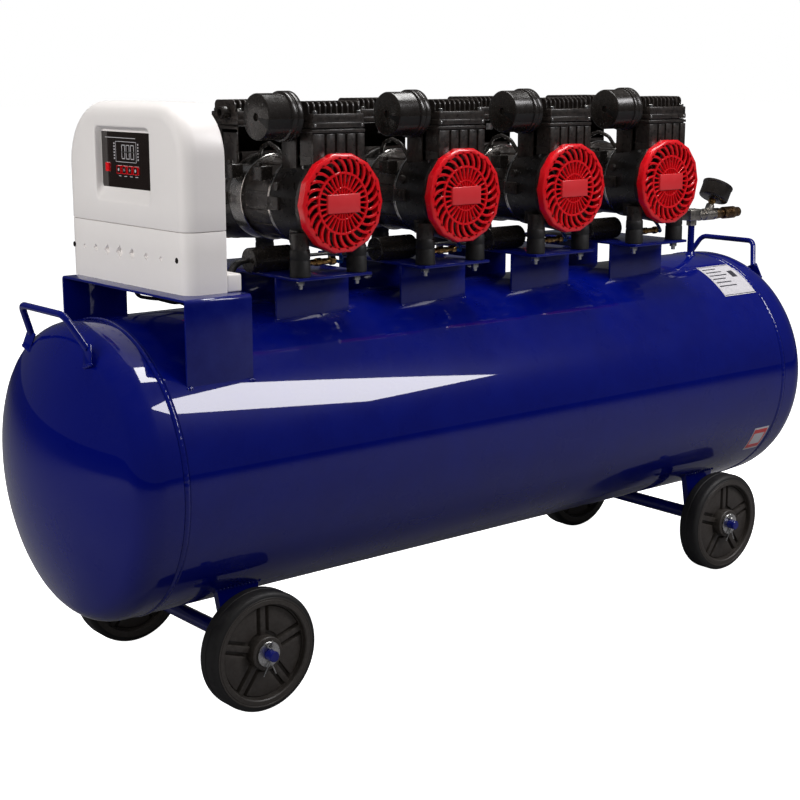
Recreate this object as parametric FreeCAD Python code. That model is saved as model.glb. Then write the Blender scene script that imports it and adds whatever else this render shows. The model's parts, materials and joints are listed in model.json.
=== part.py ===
import FreeCAD, Part
import math
import os

# Four-head oil-free air compressor on a long horizontal receiver.
# +X runs along the tank, -Y is the front with the fan grills, +Z is up.
# The origin is on the ground under the middle of the tank. Millimetres.

V = FreeCAD.Vector
X_AXIS = V(1, 0, 0)
Y_AXIS = V(0, 1, 0)
Z_AXIS = V(0, 0, 1)

# the wheel lifts the receiver, and everything above stands on the receiver
wheel_radius = 100.0

# receiver
tank_radius = 242.7
tank_axis_z = wheel_radius + 283.5
tank_wall = 4.0
seam_x = 720.0
head_tangent_x = 752.0
crown_radius = 485.0
knuckle_radius = 55.0

# lift handle: a bent bar with a flat tab welded under each end
handle_bar = 5.5
handle_bend = 18.0
handle_rise = 24.3
handle_foot_inset = 7.4
handle_foot_angle = math.radians(23.02)
handle_foot_radius = tank_radius - handle_foot_inset
handle_foot_y = handle_foot_radius * math.sin(handle_foot_angle)
handle_foot_z = tank_axis_z + handle_foot_radius * math.cos(handle_foot_angle)
handle_top = (822.0, handle_foot_y - 22.0, tank_axis_z + tank_radius + handle_rise)
handle_foot = (797.0, handle_foot_y, handle_foot_z)
handle_tab_width = 28.0
handle_tab_thickness = 4.0
handle_tab_length = 40.0
handle_tab_overlap = 4.0
handle_tab_lean = 12.0
handle_tab_splay = 20.0

# running gear
wheel_width = 45.0
wheel_x = 574.0
wheel_outer_y = 228.0
axle_radius = 9.0
axle_end_y = 252.0
wheel_bore_clearance = 0.08
leg_plate_y = 150.0
leg_depth = 14.0
leg_sheet = 4.0
leg_top_width = 92.0
leg_foot_width = 40.0
leg_top_reach = 30.0
leg_below_tube = 4.0
axle_tube_radius = 13.0
axle_tube_end_y = 176.0
tread_shoulder = 9.0
rim_radius = 78.0
rim_recess = 9.0
hub_radius = 28.0
hub_proud = 5.0
hub_back_proud = 2.5
hub_groove = 5.0
spoke_count = 5
spoke_width = 10.0
spoke_groove = 6.5
spoke_groove_end = 75.0
spoke_groove_depth = 9.0
washer_radius = 21.0
washer_thickness = 2.5
washer_gap = 0.5
washer_clearance = 0.3
pin_radius = 1.6
pin_clearance = 0.1
pin_gap = 1.0
pin_eye_radius = 4.0
pin_leg_length = 24.0
pin_leg_reach = (-15.0, 9.0)
pin_leg_lean = 2.0

# pumps
pump_count = 4
pump_pitch = 266.4
first_pump_x = -363.5
saddle_offset_x = -8.3
saddle_half_width = 75.3
saddle_top_z = tank_axis_z + 298.3
saddle_sheet = 5.0
saddle_edge_y = 154.0
saddle_flange_y = 90.0
foot_spacing_x = 116.0
foot_y = 134.0
foot_radius = 17.0
foot_height = 46.0
shaft_z = saddle_top_z + foot_height + 71.3
foot_waist_place = 0.62
foot_waist_depth = 3.0
foot_case_clearance = 0.6
bolt_radius = 4.0
bolt_reach = 30.0
bolt_below = 15.0
bolt_clearance = 0.2
bolt_hole_clearance = 0.4
bolt_washer_radius = 8.5
bolt_washer_thickness = 1.6
nut_radius = 7.5
nut_height = 6.9
lug_height = 34.0
case_back_y = 60.0
case_front_y = 149.6
case_back_radius = 73.5
case_front_radius = 80.5
block_offset_x = 4.0
block_half_x = 52.5
block_front_y = 149.0
block_back_y = 66.0
side_pad_depth = 3.0
side_pad_width = 40.0
side_pad_bottom = 40.0
side_pad_drop = 12.0
groove_count = 4
groove_width = 4.0
groove_depth = 4.0
groove_shift = 4.0
groove_drop = 9.0
head_gap_z = shaft_z + 119.9
head_slab = 23.0
fin_height = 19.5
fin_corner = 9.0
spine_half = 6.0
spine_drop = 5.0
fin_count = 10
fin_thickness = 3.0
fin_front_y = 136.0
fin_back_y = 74.0
cylinder_bore = 26.0
crank_y = 90.0
crank_chamber_radius = 42.0
crank_chamber_half = 16.0
fan_cup_radius = 75.0
fan_cup_depth = 32.0
grill_radius = 82.0
grill_sides = 14
grill_front_y = 165.0
grill_plate = 4.5
swirl_count = 26
swirl_ring = (51.0, 73.0)
swirl_lean = 14.0
swirl_half_angles = (4.3, 4.6)
swirl_bow = 0.34
spoke_slots = 30
spoke_ring = (27.0, 47.5)
spoke_half_angles = (3.6, 4.4)
badge = (66.0, 31.0)
motor_radius = 68.0
motor_wall = 3.5
stator_bore = 36.0
stator_half = 38.0
rotor_air_gap = 0.8
shaft_radius = 7.0
shaft_clearance = 0.05
fan_radius = 68.0
fan_blades = 9
fan_hub_radius = 15.0
fan_back_gap = 3.0
fan_tip_gap = 2.0
blade_half = 9.0
blade_thickness = 2.4
blade_pitch = 32.0
throw = 7.0
eccentric_wall = 3.0
eccentric_half = 5.0
piston_gap = 0.3
piston_crown = 12.0
piston_drop = 8.0
rod_eye_gap = 1.0
rod_eye_wall = 5.0
filter_radius = 37.0
filter_rim_radius = 40.5
filter_face_x = -126.0
filter_rim_x = -82.0
filter_end_x = -60.0
filter_y = 102.0
filter_z = shaft_z + 138.9
filter_neck_radius = 11.0
filter_mouth_radius = 6.5
filter_mouth_depth = 14.0
filter_screw_circle = 28.0
cap_screw_radius = 4.2
cap_screw_height = 5.0
cap_socket_radius = 2.0
cap_socket_depth = 3.0
cap_screw_inset_x = 8.0
cap_screw_inset_y = 6.0
capacitor_radius = 21.0
capacitor_ends = (-104.0, -20.0)
capacitor_y = -40.0
capacitor_gap = 0.2
capacitor_edge = 2.5

# control box and its bracket
bracket_x = (-681.0, -560.0)
bracket_y = (-186.0, 204.0)
bracket_top_z = tank_axis_z + 288.5
bracket_sheet = 4.0
box_face_x = -654.0
box_back_x = -580.0
box_ledge_x = -555.0
box_y = (-152.0, 222.0)
box_seam_z = bracket_top_z + 96.0
box_top_z = bracket_top_z + 290.0
box_wall = 3.0
shoulder_left = 84.0
shoulder_right = 62.0
face_round = 16.0
ledge_top_z = bracket_top_z + 28.0
panel_y = (-34.0, 120.0)
panel_z = (bracket_top_z + 153.0, bracket_top_z + 242.0)
panel_lap = 4.0
recess_depth = 15.0
recess_y = (-50.0, 122.0)
recess_z = (bracket_top_z + 131.0, bracket_top_z + 251.0)
panel_thickness = 3.0
power_button_place = (100.0, bracket_top_z + 185.0)
power_button_half = (5.4, 7.0)
first_key_place = (63.0, bracket_top_z + 182.0)
key_pitch = 17.6
key_half = 6.4
key_travel = 1.0
key_proud = 2.5
key_clearance = 0.4

# outlet manifold
outlet_y = -12.0
riser_x = 685.0
riser_radius = 7.0
outlet_z = tank_axis_z + 325.5
block_x = (666.0, 700.0)
block_half_y = 14.0
block_z_reach = (10.0, 14.0)
elbow_radius = 12.0
elbow_drop = 24.0
riser_wall = 2.5
body_end_x = 757.0
body_radius = 13.0
coupler_end_x = 841.0
sleeve_clearance = 0.4
sleeve_travel = 4.0
gauge_radius = 33.0
gauge_depth = 34.0
gauge_tilt = 28.6
gauge_stem_x = 735.0
gauge_stem_radius = 6.5
gauge_boss_radius = 9.0
gauge_boss = 10.0
gauge_case_gap = 24.0
gauge_wall = 3.0
gauge_dish = 9.0
pivot_radius = 1.5
needle_length = 22.0
needle_tail = 4.0
needle_rest_angle = 225.0
coupler_core_radius = 9.0
coupler_collar = 1.5
coupler_bore = 4.5
sleeve_x = (786.0, 826.0)
sleeve_edge = 2.0
safety_valve_radius = 9.0
safety_valve_length = 26.0
safety_cap_radius = 7.0
safety_cap_length = 10.0
safety_stem_radius = 1.5
safety_ring_radius = 9.0

# drain under the tank
drain_x = -450.0
drain_radius = 8.0
drain_bottom_z = tank_axis_z - 275.5
drain_collar_radius = 12.0
drain_side_radius = 6.0
drain_side_length = 18.0
drain_side_rise = 13.0
spindle_radius = 2.0
tap_half = 16.0
tap_y = (-25.0, -20.0)
tap_half_height = 4.0

# hoses and cables
hose_radius = 6.0
hose_y = 36.0
cable_radius = 4.0
link_radius = 3.0
cable_hole_clearance = 1.5
cable_exit_x = -612.0
cable_exit_y = (-40.0, 20.0, 80.0)

parts = {}


def box(x0, x1, y0, y1, z0, z1):
    return Part.makeBox(x1 - x0, y1 - y0, z1 - z0, V(x0, y0, z0))


def rod(radius, start, end):
    start = V(*start)
    run = V(*end) - start
    return Part.makeCylinder(radius, run.Length, start, run)


def fuse(shapes):
    whole = shapes[0].multiFuse(shapes[1:])
    return whole.removeSplitter()


def turned(points, axis, origin=V(0, 0, 0)):
    """Solid of revolution of a closed outline about an axis through origin."""
    face = Part.Face(Part.makePolygon(points + [points[0]]))
    return face.revolve(origin, axis, 360)


def moved(shape, dx, dy, dz):
    copy = shape.copy()
    copy.translate(V(dx, dy, dz))
    return copy


def mirrored_y(shape):
    return shape.mirror(V(0, 0, 0), Y_AXIS)


def mirrored_x(shape):
    return shape.mirror(V(0, 0, 0), X_AXIS)


def group(shapes):
    return Part.makeCompound([solid for shape in shapes for solid in shape.Solids])


def bent_path(points, radius):
    """Straight runs joined by tangent arcs of one radius, or less where a run is short."""
    pts = [V(*p) for p in points]
    edges = []
    here = pts[0]
    for before, corner, after in zip(pts, pts[1:], pts[2:]):
        back = before - corner
        ahead = after - corner
        half_turn = (math.pi - back.getAngle(ahead)) / 2
        trim = min(radius * math.tan(half_turn), 0.45 * min(back.Length, ahead.Length))
        bend = trim / math.tan(half_turn)
        back.normalize()
        ahead.normalize()
        start = corner + back * trim
        end = corner + ahead * trim
        inward = back + ahead
        inward.normalize()
        middle = corner + inward * (bend / math.cos(half_turn) - bend)
        edges.append(Part.LineSegment(here, start).toShape())
        edges.append(Part.Arc(start, middle, end).toShape())
        here = end
    edges.append(Part.LineSegment(here, pts[-1]).toShape())
    return Part.Wire(edges)


def swept(points, bend_radius, section_radius):
    path = bent_path(points, bend_radius)
    heading = V(*points[1]) - V(*points[0])
    ring = Part.Wire(Part.makeCircle(section_radius, V(*points[0]), heading))
    solid = path.makePipeShell([ring], True, True)
    ideal = math.pi * section_radius ** 2 * path.Length
    print("pipe", round(path.Length, 1), "volume ratio", round(solid.Volume / ideal, 4))
    return solid


def tank_height_at(y, radius=tank_radius):
    return math.sqrt(radius ** 2 - y ** 2)


# ---- receiver ----------------------------------------------------------------

def tank_shell():
    outer = rod(tank_radius, (-seam_x, 0, tank_axis_z), (seam_x, 0, tank_axis_z))
    inner = rod(tank_radius - tank_wall, (-seam_x, 0, tank_axis_z), (seam_x, 0, tank_axis_z))
    riser_hole = rod(riser_radius, (riser_x, outlet_y, tank_axis_z), (riser_x, outlet_y, outlet_z))
    drain_hole = rod(drain_radius, (drain_x, 0, 0), (drain_x, 0, tank_axis_z))
    return outer.cut(inner).cut(riser_hole).cut(drain_hole)


def head_outline(radius, knuckle, crown):
    """Half outline of a dished end in the XZ plane, from the seam to the pole."""
    knuckle_r = radius - knuckle
    crown_x = head_tangent_x - math.sqrt((crown - knuckle) ** 2 - knuckle_r ** 2)
    sin_a = knuckle_r / (crown - knuckle)
    cos_a = math.sqrt(1 - sin_a ** 2)
    meet = V(crown_x + crown * cos_a, 0, crown * sin_a)
    pole = V(crown_x + crown, 0, 0)
    half = math.asin(sin_a) / 2
    crown_mid = V(crown_x + crown * math.cos(half), 0, crown * math.sin(half))
    turn = (math.pi / 2 + math.asin(sin_a)) / 2
    knuckle_mid = V(head_tangent_x + knuckle * math.cos(turn), 0, knuckle_r + knuckle * math.sin(turn))
    tangent = V(head_tangent_x, 0, radius)
    seam = V(seam_x, 0, radius)
    return seam, tangent, knuckle_mid, meet, crown_mid, pole


def dished_solid(radius, knuckle, crown):
    seam, tangent, knuckle_mid, meet, crown_mid, pole = head_outline(radius, knuckle, crown)
    edges = [
        Part.LineSegment(seam, tangent).toShape(),
        Part.Arc(tangent, knuckle_mid, meet).toShape(),
        Part.Arc(meet, crown_mid, pole).toShape(),
        Part.LineSegment(pole, V(seam_x, 0, 0)).toShape(),
        Part.LineSegment(V(seam_x, 0, 0), seam).toShape(),
    ]
    solid = Part.Face(Part.Wire(edges)).revolve(V(0, 0, 0), X_AXIS, 360)
    return moved(solid, 0, 0, tank_axis_z)


def tank_head():
    outer = dished_solid(tank_radius, knuckle_radius, crown_radius)
    inner = dished_solid(tank_radius - tank_wall, knuckle_radius - tank_wall, crown_radius - tank_wall)
    return outer.cut(inner)


def head_reach():
    return head_outline(tank_radius, knuckle_radius, crown_radius)[5].x


def lift_handle():
    tx, ty, tz = handle_top
    fx, fy, fz = handle_foot
    bar = swept([(fx, -fy, fz), (tx, -ty, tz), (tx, ty, tz), (fx, fy, fz)], handle_bend, handle_bar)
    pieces = [bar]
    corner = V(-handle_tab_thickness / 2, -handle_tab_width / 2, handle_tab_overlap - handle_tab_length)
    for side in (-1, 1):
        tab = Part.makeBox(handle_tab_thickness, handle_tab_width, handle_tab_length, corner)
        tab.rotate(V(0, 0, 0), Y_AXIS, -handle_tab_lean)
        tab.rotate(V(0, 0, 0), X_AXIS, side * handle_tab_splay)
        tab.translate(V(fx, side * fy, fz))
        pieces.append(tab)
    head = dished_solid(tank_radius, knuckle_radius, crown_radius)
    return fuse(pieces).cut(head)


# ---- running gear --------------------------------------------------------------

def leg_outline(top_width, foot_width, top_z, foot_z, y):
    half_top = top_width / 2
    half_foot = foot_width / 2
    points = [V(-half_top, y, top_z), V(half_top, y, top_z), V(half_foot, y, foot_z), V(-half_foot, y, foot_z)]
    return Part.Face(Part.makePolygon(points + [points[0]]))


def leg():
    """Folded channel leg with its open side towards the middle of the machine."""
    top_z = tank_axis_z - tank_height_at(leg_plate_y) + leg_top_reach
    foot_z = wheel_radius - axle_tube_radius - leg_below_tube
    outer = leg_outline(leg_top_width, leg_foot_width, top_z, foot_z, -leg_plate_y)
    outer = outer.extrude(V(0, leg_depth, 0))
    inner = leg_outline(leg_top_width - 2 * leg_sheet, leg_foot_width - 2 * leg_sheet, top_z, foot_z,
                        -leg_plate_y + leg_sheet)
    inner = inner.extrude(V(0, leg_depth, 0))
    return outer.cut(inner)


def leg_frame():
    front = leg()
    tube = rod(axle_tube_radius, (0, -axle_tube_end_y, wheel_radius), (0, axle_tube_end_y, wheel_radius))
    bore = rod(axle_radius, (0, -axle_end_y, wheel_radius), (0, axle_end_y, wheel_radius))
    frame = fuse([front, mirrored_y(front), tube]).cut(bore)
    tank = rod(tank_radius, (-seam_x, 0, tank_axis_z), (seam_x, 0, tank_axis_z))
    return frame.cut(tank)


def axle():
    bar = rod(axle_radius, (0, -axle_end_y, wheel_radius), (0, axle_end_y, wheel_radius))
    for side in (-1, 1):
        y = side * cotter_y()
        bar = bar.cut(rod(pin_radius + pin_clearance, (0, y, 0), (0, y, 2 * wheel_radius)))
    return bar


def washer_outer_y():
    return wheel_outer_y + hub_proud + washer_gap + washer_thickness


def cotter_y():
    return washer_outer_y() + pin_radius + pin_gap


def wheel():
    """One moulded wheel on the front side: rounded tread, recessed web, grooved spokes and a hub."""
    out = -wheel_outer_y
    back = out + wheel_width
    tread = rod(wheel_radius, (0, out, 0), (0, back, 0))
    rims = [e for e in tread.Edges if abs(e.Length - 2 * math.pi * wheel_radius) < 0.1]
    tread = tread.makeFillet(tread_shoulder, rims)
    body = tread
    for face, inward in ((out, 1), (back, -1)):
        floor = face + inward * rim_recess
        bottom = floor + inward * spoke_groove_depth
        body = body.cut(rod(rim_radius, (0, face, 0), (0, floor, 0)))
        body = body.cut(rod(hub_radius + hub_groove, (0, face, 0), (0, floor + inward * hub_groove, 0)))
        for index in range(spoke_count):
            angle = 90 + 360 / spoke_count * index
            for side in (-1, 1):
                offset = side * (spoke_width + spoke_groove) / 2
                groove = box(hub_radius, spoke_groove_end, min(floor, bottom), max(floor, bottom),
                             offset - spoke_groove / 2, offset + spoke_groove / 2)
                groove.rotate(V(0, 0, 0), Y_AXIS, -angle)
                body = body.cut(groove)
    solid = fuse([body, rod(hub_radius, (0, out - hub_proud, 0), (0, back + hub_back_proud, 0))])
    bore = rod(axle_radius + wheel_bore_clearance, (0, -2 * wheel_outer_y, 0), (0, 0, 0))
    return moved(solid.cut(bore), 0, 0, wheel_radius)


def washer():
    y1 = washer_outer_y()
    ring = rod(washer_radius, (0, -y1, wheel_radius), (0, -y1 + washer_thickness, wheel_radius))
    return ring.cut(rod(axle_radius + washer_clearance, (0, -y1, wheel_radius), (0, 0, wheel_radius)))


def cotter_pin():
    """Split pin through the axle: an eye above and two splayed legs below."""
    y = -cotter_y()
    top = wheel_radius + axle_radius + 2.0
    bottom = wheel_radius - axle_radius
    shank = rod(pin_radius, (0, y, bottom - 1.0), (0, y, top))
    eye = Part.makeTorus(pin_eye_radius, pin_radius, V(0, y, top + pin_eye_radius - 0.5), Y_AXIS)
    legs = []
    for reach in pin_leg_reach:
        tip = (reach, y - pin_leg_lean, bottom - pin_leg_length)
        legs.append(rod(pin_radius * 0.7, (0, y, bottom - 0.5), tip))
    return fuse([shank, eye] + legs)


# ---- pumps ---------------------------------------------------------------------

def pump_positions():
    return [first_pump_x + pump_pitch * index for index in range(pump_count)]


def at_pumps(shape):
    return [moved(shape, x, 0, shaft_z) for x in pump_positions()]


def saddle():
    """Bent sheet bridge welded on the tank, with a flange below each overhanging shelf."""
    x0 = saddle_offset_x - saddle_half_width
    x1 = saddle_offset_x + saddle_half_width
    plate = box(x0, x1, -saddle_edge_y, saddle_edge_y, saddle_top_z - saddle_sheet, saddle_top_z)
    flange = box(x0, x1, -saddle_flange_y, -saddle_flange_y + saddle_sheet, tank_axis_z, saddle_top_z)
    whole = fuse([plate, flange, mirrored_y(flange)])
    tank = rod(tank_radius, (-seam_x, 0, tank_axis_z), (seam_x, 0, tank_axis_z))
    whole = whole.cut(tank)
    for x, y in foot_places():
        whole = whole.cut(rod(bolt_radius + bolt_hole_clearance, (x, y, 0), (x, y, 2 * shaft_z)))
    return whole


def foot_places():
    return [(saddle_offset_x + sx * foot_spacing_x / 2, sy * foot_y) for sx in (-1, 1) for sy in (-1, 1)]


def case_flare(gap=0.0):
    """Flared drum of the front casting, grown by a gap where something has to clear it."""
    return Part.makeCone(case_back_radius + gap, case_front_radius + gap, case_front_y - case_back_y,
                         V(0, -case_back_y, 0), V(0, -1, 0))


def feet():
    """Rubber pads between shelf and casting, waisted and trimmed clear of the flare."""
    pads = []
    drum = moved(case_flare(foot_case_clearance), 0, 0, shaft_z)
    drums = drum.fuse(mirrored_y(drum))
    for x, y in foot_places():
        pad = rod(foot_radius, (x, y, saddle_top_z), (x, y, saddle_top_z + foot_height))
        waist_z = saddle_top_z + foot_height * foot_waist_place
        waist = Part.makeTorus(foot_radius + 1.0, foot_waist_depth, V(x, y, waist_z), Z_AXIS)
        hole = rod(bolt_radius + bolt_clearance, (x, y, saddle_top_z), (x, y, saddle_top_z + bolt_reach))
        pads.append(pad.cut(waist).cut(hole).cut(drums))
    return pads


def foot_bolt_set():
    """Stud, washer and nut under the shelf at each foot."""
    bolts = []
    under = saddle_top_z - saddle_sheet
    for x, y in foot_places():
        stud = rod(bolt_radius, (x, y, under - bolt_below), (x, y, saddle_top_z + bolt_reach - 1.0))
        disc = rod(bolt_washer_radius, (x, y, under - bolt_washer_thickness), (x, y, under))
        corners = [math.radians(60 * i) for i in range(6)]
        nut_z = under - bolt_washer_thickness - nut_height
        points = [V(x + nut_radius * math.cos(a), y + nut_radius * math.sin(a), nut_z) for a in corners]
        nut = Part.Face(Part.makePolygon(points + [points[0]])).extrude(V(0, 0, nut_height))
        bolts.append(fuse([stud, disc, nut]))
    return bolts


def crankcase():
    """Front casting: fan cup, flared case, crank chamber, cylinder block and mounting lugs."""
    flare = case_flare()
    top = head_gap_z - shaft_z
    x0 = block_offset_x - block_half_x
    x1 = block_offset_x + block_half_x
    block = box(x0, x1, -block_front_y, -block_back_y, 0, top)
    pad = box(x0 - side_pad_depth, x0, -block_back_y - side_pad_width, -block_back_y,
              side_pad_bottom, top - side_pad_drop)
    pieces = [flare, block, pad]
    foot_top = saddle_top_z + foot_height - shaft_z
    for x in (saddle_offset_x - foot_spacing_x / 2, saddle_offset_x + foot_spacing_x / 2):
        pieces.append(box(x - foot_radius, x + foot_radius, -case_front_y, -foot_y + foot_radius,
                          foot_top, foot_top + lug_height))
    solid = fuse(pieces)
    solid = solid.cut(rod(fan_cup_radius, (0, -case_front_y, 0), (0, -case_front_y + fan_cup_depth, 0)))
    half = crank_chamber_half
    chamber = rod(crank_chamber_radius, (0, -crank_y - half, 0), (0, -crank_y + half, 0))
    bore = rod(cylinder_bore, (0, -crank_y, 0), (0, -crank_y, top))
    shaft_hole = rod(shaft_radius + shaft_clearance, (0, -case_front_y, 0), (0, -case_back_y, 0))
    solid = solid.cut(chamber).cut(bore).cut(shaft_hole)
    groove_pitch = 2 * block_half_x / (groove_count + 1)
    for index in range(groove_count):
        x = x0 + groove_pitch * (index + 1) + groove_shift
        solid = solid.cut(box(x - groove_width / 2, x + groove_width / 2, -block_front_y,
                              -block_front_y + groove_depth, case_front_radius, top - groove_drop))
    return solid


def cylinder_head():
    """Cover slab with a comb of cooling fins across it."""
    z0 = head_gap_z - shaft_z
    x0 = block_offset_x - block_half_x
    x1 = block_offset_x + block_half_x
    slab = box(x0, x1, -block_front_y, -block_back_y, z0, z0 + head_slab)
    pieces = [slab]
    z1 = z0 + head_slab
    pitch = (2 * block_half_x - fin_thickness) / (fin_count - 1)
    for index in range(fin_count):
        x = x0 + pitch * index
        fin = box(x, x + fin_thickness, -fin_front_y, -fin_back_y, z1 - 1, z1 + fin_height)
        upper = [e for e in fin.Edges if abs(e.Length - fin_thickness) < 1e-6
                 and abs(e.CenterOfMass.z - z1 - fin_height) < 1e-6]
        pieces.append(fin.makeFillet(fin_corner, upper))
    spine = box(x0, x1, -crank_y - spine_half, -crank_y + spine_half, z1 - 1, z1 + fin_height - spine_drop)
    return fuse(pieces + [spine])


def intake_filter():
    y = -filter_y
    z = filter_z - shaft_z
    neck_end = block_offset_x - block_half_x
    drum = rod(filter_radius, (filter_face_x, y, z), (filter_rim_x, y, z))
    drum = drum.makeFillet(2.0, [e for e in drum.Edges if abs(e.CenterOfMass.x - filter_face_x) < 1e-6
                                 and e.Length > 2 * filter_radius])
    rim = rod(filter_rim_radius, (filter_rim_x, y, z), (filter_end_x, y, z))
    neck = rod(filter_neck_radius, (filter_end_x, y, z), (neck_end, y, z))
    solid = fuse([drum, rim, neck])
    mouth = rod(filter_mouth_radius, (filter_face_x, y, z), (filter_face_x + filter_mouth_depth, y, z))
    solid = solid.cut(mouth)
    for index in range(4):
        angle = math.radians(45 + 90 * index)
        py = y + filter_screw_circle * math.cos(angle)
        pz = z + filter_screw_circle * math.sin(angle)
        solid = solid.cut(rod(1.8, (filter_face_x, py, pz), (filter_face_x + 4, py, pz)))
    return solid


def swirl_slot(r_in, r_out, lean, half_in, half_out):
    """Curved slot of the outer ring, leaning clockwise as it goes outward."""
    def at(radius, degrees):
        angle = math.radians(degrees)
        return V(radius * math.sin(angle), 0, radius * math.cos(angle))
    mid = (r_in + r_out) / 2
    bow = lean * swirl_bow
    corners = [at(r_in, -half_in), at(r_out, lean - half_out), at(r_out, lean + half_out), at(r_in, half_in)]
    edges = [
        Part.Arc(corners[0], at(mid, bow - (half_in + half_out) / 2), corners[1]).toShape(),
        Part.Arc(corners[1], at(r_out, lean), corners[2]).toShape(),
        Part.Arc(corners[2], at(mid, bow + (half_in + half_out) / 2), corners[3]).toShape(),
        Part.Arc(corners[3], at(r_in, 0), corners[0]).toShape(),
    ]
    return Part.Face(Part.Wire(edges))


def grill():
    """Red fan guard: many-sided cup with a swirl ring, a spoke ring and a plain centre plate."""
    points = []
    for index in range(grill_sides):
        angle = math.radians(360 / grill_sides * (index + 0.5))
        points.append(V(grill_radius * math.sin(angle), 0, grill_radius * math.cos(angle)))
    outline = Part.Face(Part.makePolygon(points + [points[0]]))
    depth = grill_front_y - case_front_y
    cup = moved(outline.extrude(V(0, depth, 0)), 0, -grill_front_y, 0)
    hollow = rod(fan_cup_radius, (0, -grill_front_y + grill_plate, 0), (0, -case_front_y, 0))
    cup = cup.cut(hollow)
    slot = swirl_slot(*swirl_ring, swirl_lean, *swirl_half_angles).extrude(V(0, 2 * grill_plate, 0))
    slot.translate(V(0, -grill_front_y - grill_plate / 2, 0))
    wedge = swirl_slot(*spoke_ring, 0.0, *spoke_half_angles).extrude(V(0, 2 * grill_plate, 0))
    wedge.translate(V(0, -grill_front_y - grill_plate / 2, 0))
    centre = box(-badge[0] / 2, badge[0] / 2, -grill_front_y - 3 * grill_plate, 0, -badge[1] / 2, badge[1] / 2)
    wedge_ring = []
    for index in range(spoke_slots):
        copy = wedge.copy()
        copy.rotate(V(0, 0, 0), Y_AXIS, 360 / spoke_slots * index)
        wedge_ring.append(copy.cut(centre))
    slot_ring = []
    for index in range(swirl_count):
        copy = slot.copy()
        copy.rotate(V(0, 0, 0), Y_AXIS, 360 / swirl_count * index)
        slot_ring.append(copy)
    return cup.cut(Part.makeCompound(slot_ring)).cut(Part.makeCompound(wedge_ring))


def motor():
    """Motor sleeve between the two castings, with the laminated stator inside it."""
    sleeve = rod(motor_radius, (0, -case_back_y, 0), (0, case_back_y, 0))
    sleeve = sleeve.cut(rod(motor_radius - motor_wall, (0, -case_back_y, 0), (0, case_back_y, 0)))
    stator = rod(motor_radius - motor_wall, (0, -stator_half, 0), (0, stator_half, 0))
    stator = stator.cut(rod(stator_bore, (0, -stator_half, 0), (0, stator_half, 0)))
    return group([sleeve, stator])


def eccentric_radius():
    return shaft_radius + throw + eccentric_wall


def rotor():
    """Shaft, squirrel-cage core, an eccentric in each crank chamber and a fan at each end."""
    tip = case_front_y - fan_tip_gap
    shaft = rod(shaft_radius, (0, -tip, 0), (0, tip, 0))
    core = rod(stator_bore - rotor_air_gap, (0, -stator_half, 0), (0, stator_half, 0))
    pieces = [shaft, core]
    fan_back = case_front_y - fan_cup_depth + fan_back_gap
    for side in (-1, 1):
        pieces.append(rod(eccentric_radius(), (0, side * (crank_y - eccentric_half), side * throw),
                          (0, side * (crank_y + eccentric_half), side * throw)))
        hub = rod(fan_hub_radius, (0, side * fan_back, 0), (0, side * tip, 0))
        pieces.append(hub)
        for index in range(fan_blades):
            blade = box(-blade_thickness / 2, blade_thickness / 2, -blade_half, blade_half,
                        fan_hub_radius - 3.0, fan_radius)
            blade.rotate(V(0, 0, 0), Z_AXIS, side * blade_pitch)
            blade.translate(V(0, side * (fan_back + tip) / 2, 0))
            blade.rotate(V(0, 0, 0), Y_AXIS, 360 / fan_blades * index)
            pieces.append(blade)
    return fuse(pieces)


def piston():
    """Cup piston with its rod and an open big end around the eccentric."""
    crown_z = head_gap_z - shaft_z - piston_drop
    crown = rod(cylinder_bore - piston_gap, (0, -crank_y, crown_z - piston_crown), (0, -crank_y, crown_z))
    inner = eccentric_radius() + throw + rod_eye_gap
    half = eccentric_half
    eye = rod(inner + rod_eye_wall, (0, -crank_y - half, 0), (0, -crank_y + half, 0))
    stem = box(-6, 6, -crank_y - half + 1, -crank_y + half - 1, inner, crown_z - piston_crown / 2)
    return fuse([crown, eye, stem]).cut(rod(inner, (0, -crank_y - half - 1, 0), (0, -crank_y + half + 1, 0)))


def cap_screws():
    """Socket screws: four in each cylinder head, seated on the slab beside the fins."""
    z1 = head_gap_z - shaft_z + head_slab
    screws = []
    reach = block_half_x - cap_screw_inset_x
    for x in (block_offset_x - reach, block_offset_x + reach):
        for y in (-block_front_y + cap_screw_inset_y, -block_back_y - cap_screw_inset_y + 1.0):
            z2 = z1 + cap_screw_height
            screw = rod(cap_screw_radius, (x, y, z1), (x, y, z2))
            socket = rod(cap_socket_radius, (x, y, z2 - cap_socket_depth), (x, y, z2))
            screws.append(screw.cut(socket))
    return screws


def run_capacitor():
    """Capacitor can lying on the shelf under the motor."""
    z = saddle_top_z - shaft_z + capacitor_radius + capacitor_gap
    x0, x1 = capacitor_ends
    can = rod(capacitor_radius, (x0, capacitor_y, z), (x1, capacitor_y, z))
    return can.makeFillet(capacitor_edge, [e for e in can.Edges if e.Length > 100])


# ---- control box ---------------------------------------------------------------

def control_bracket():
    x0, x1 = bracket_x
    y0, y1 = bracket_y
    outer = box(x0, x1, y0, y1, tank_axis_z, bracket_top_z)
    s = bracket_sheet
    inner = box(x0 - 1, x1 + 1, y0 + s, y1 - s, tank_axis_z - 1, bracket_top_z - s)
    tank = rod(tank_radius, (-seam_x, 0, tank_axis_z), (seam_x, 0, tank_axis_z))
    sheet = outer.cut(inner).cut(tank)
    long_bends = [e for e in sheet.Edges if abs(e.CenterOfMass.z - bracket_top_z) < 1e-6 and e.Length > 100
                  and abs(e.CenterOfMass.x - (x0 + x1) / 2) < 1e-6]
    sheet = sheet.makeFillet(s * 1.5, long_bends)
    for x, y in cable_exits():
        sheet = sheet.cut(rod(cable_radius + cable_hole_clearance, (x, y, 0), (x, y, 2 * shaft_z)))
    return sheet


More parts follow.
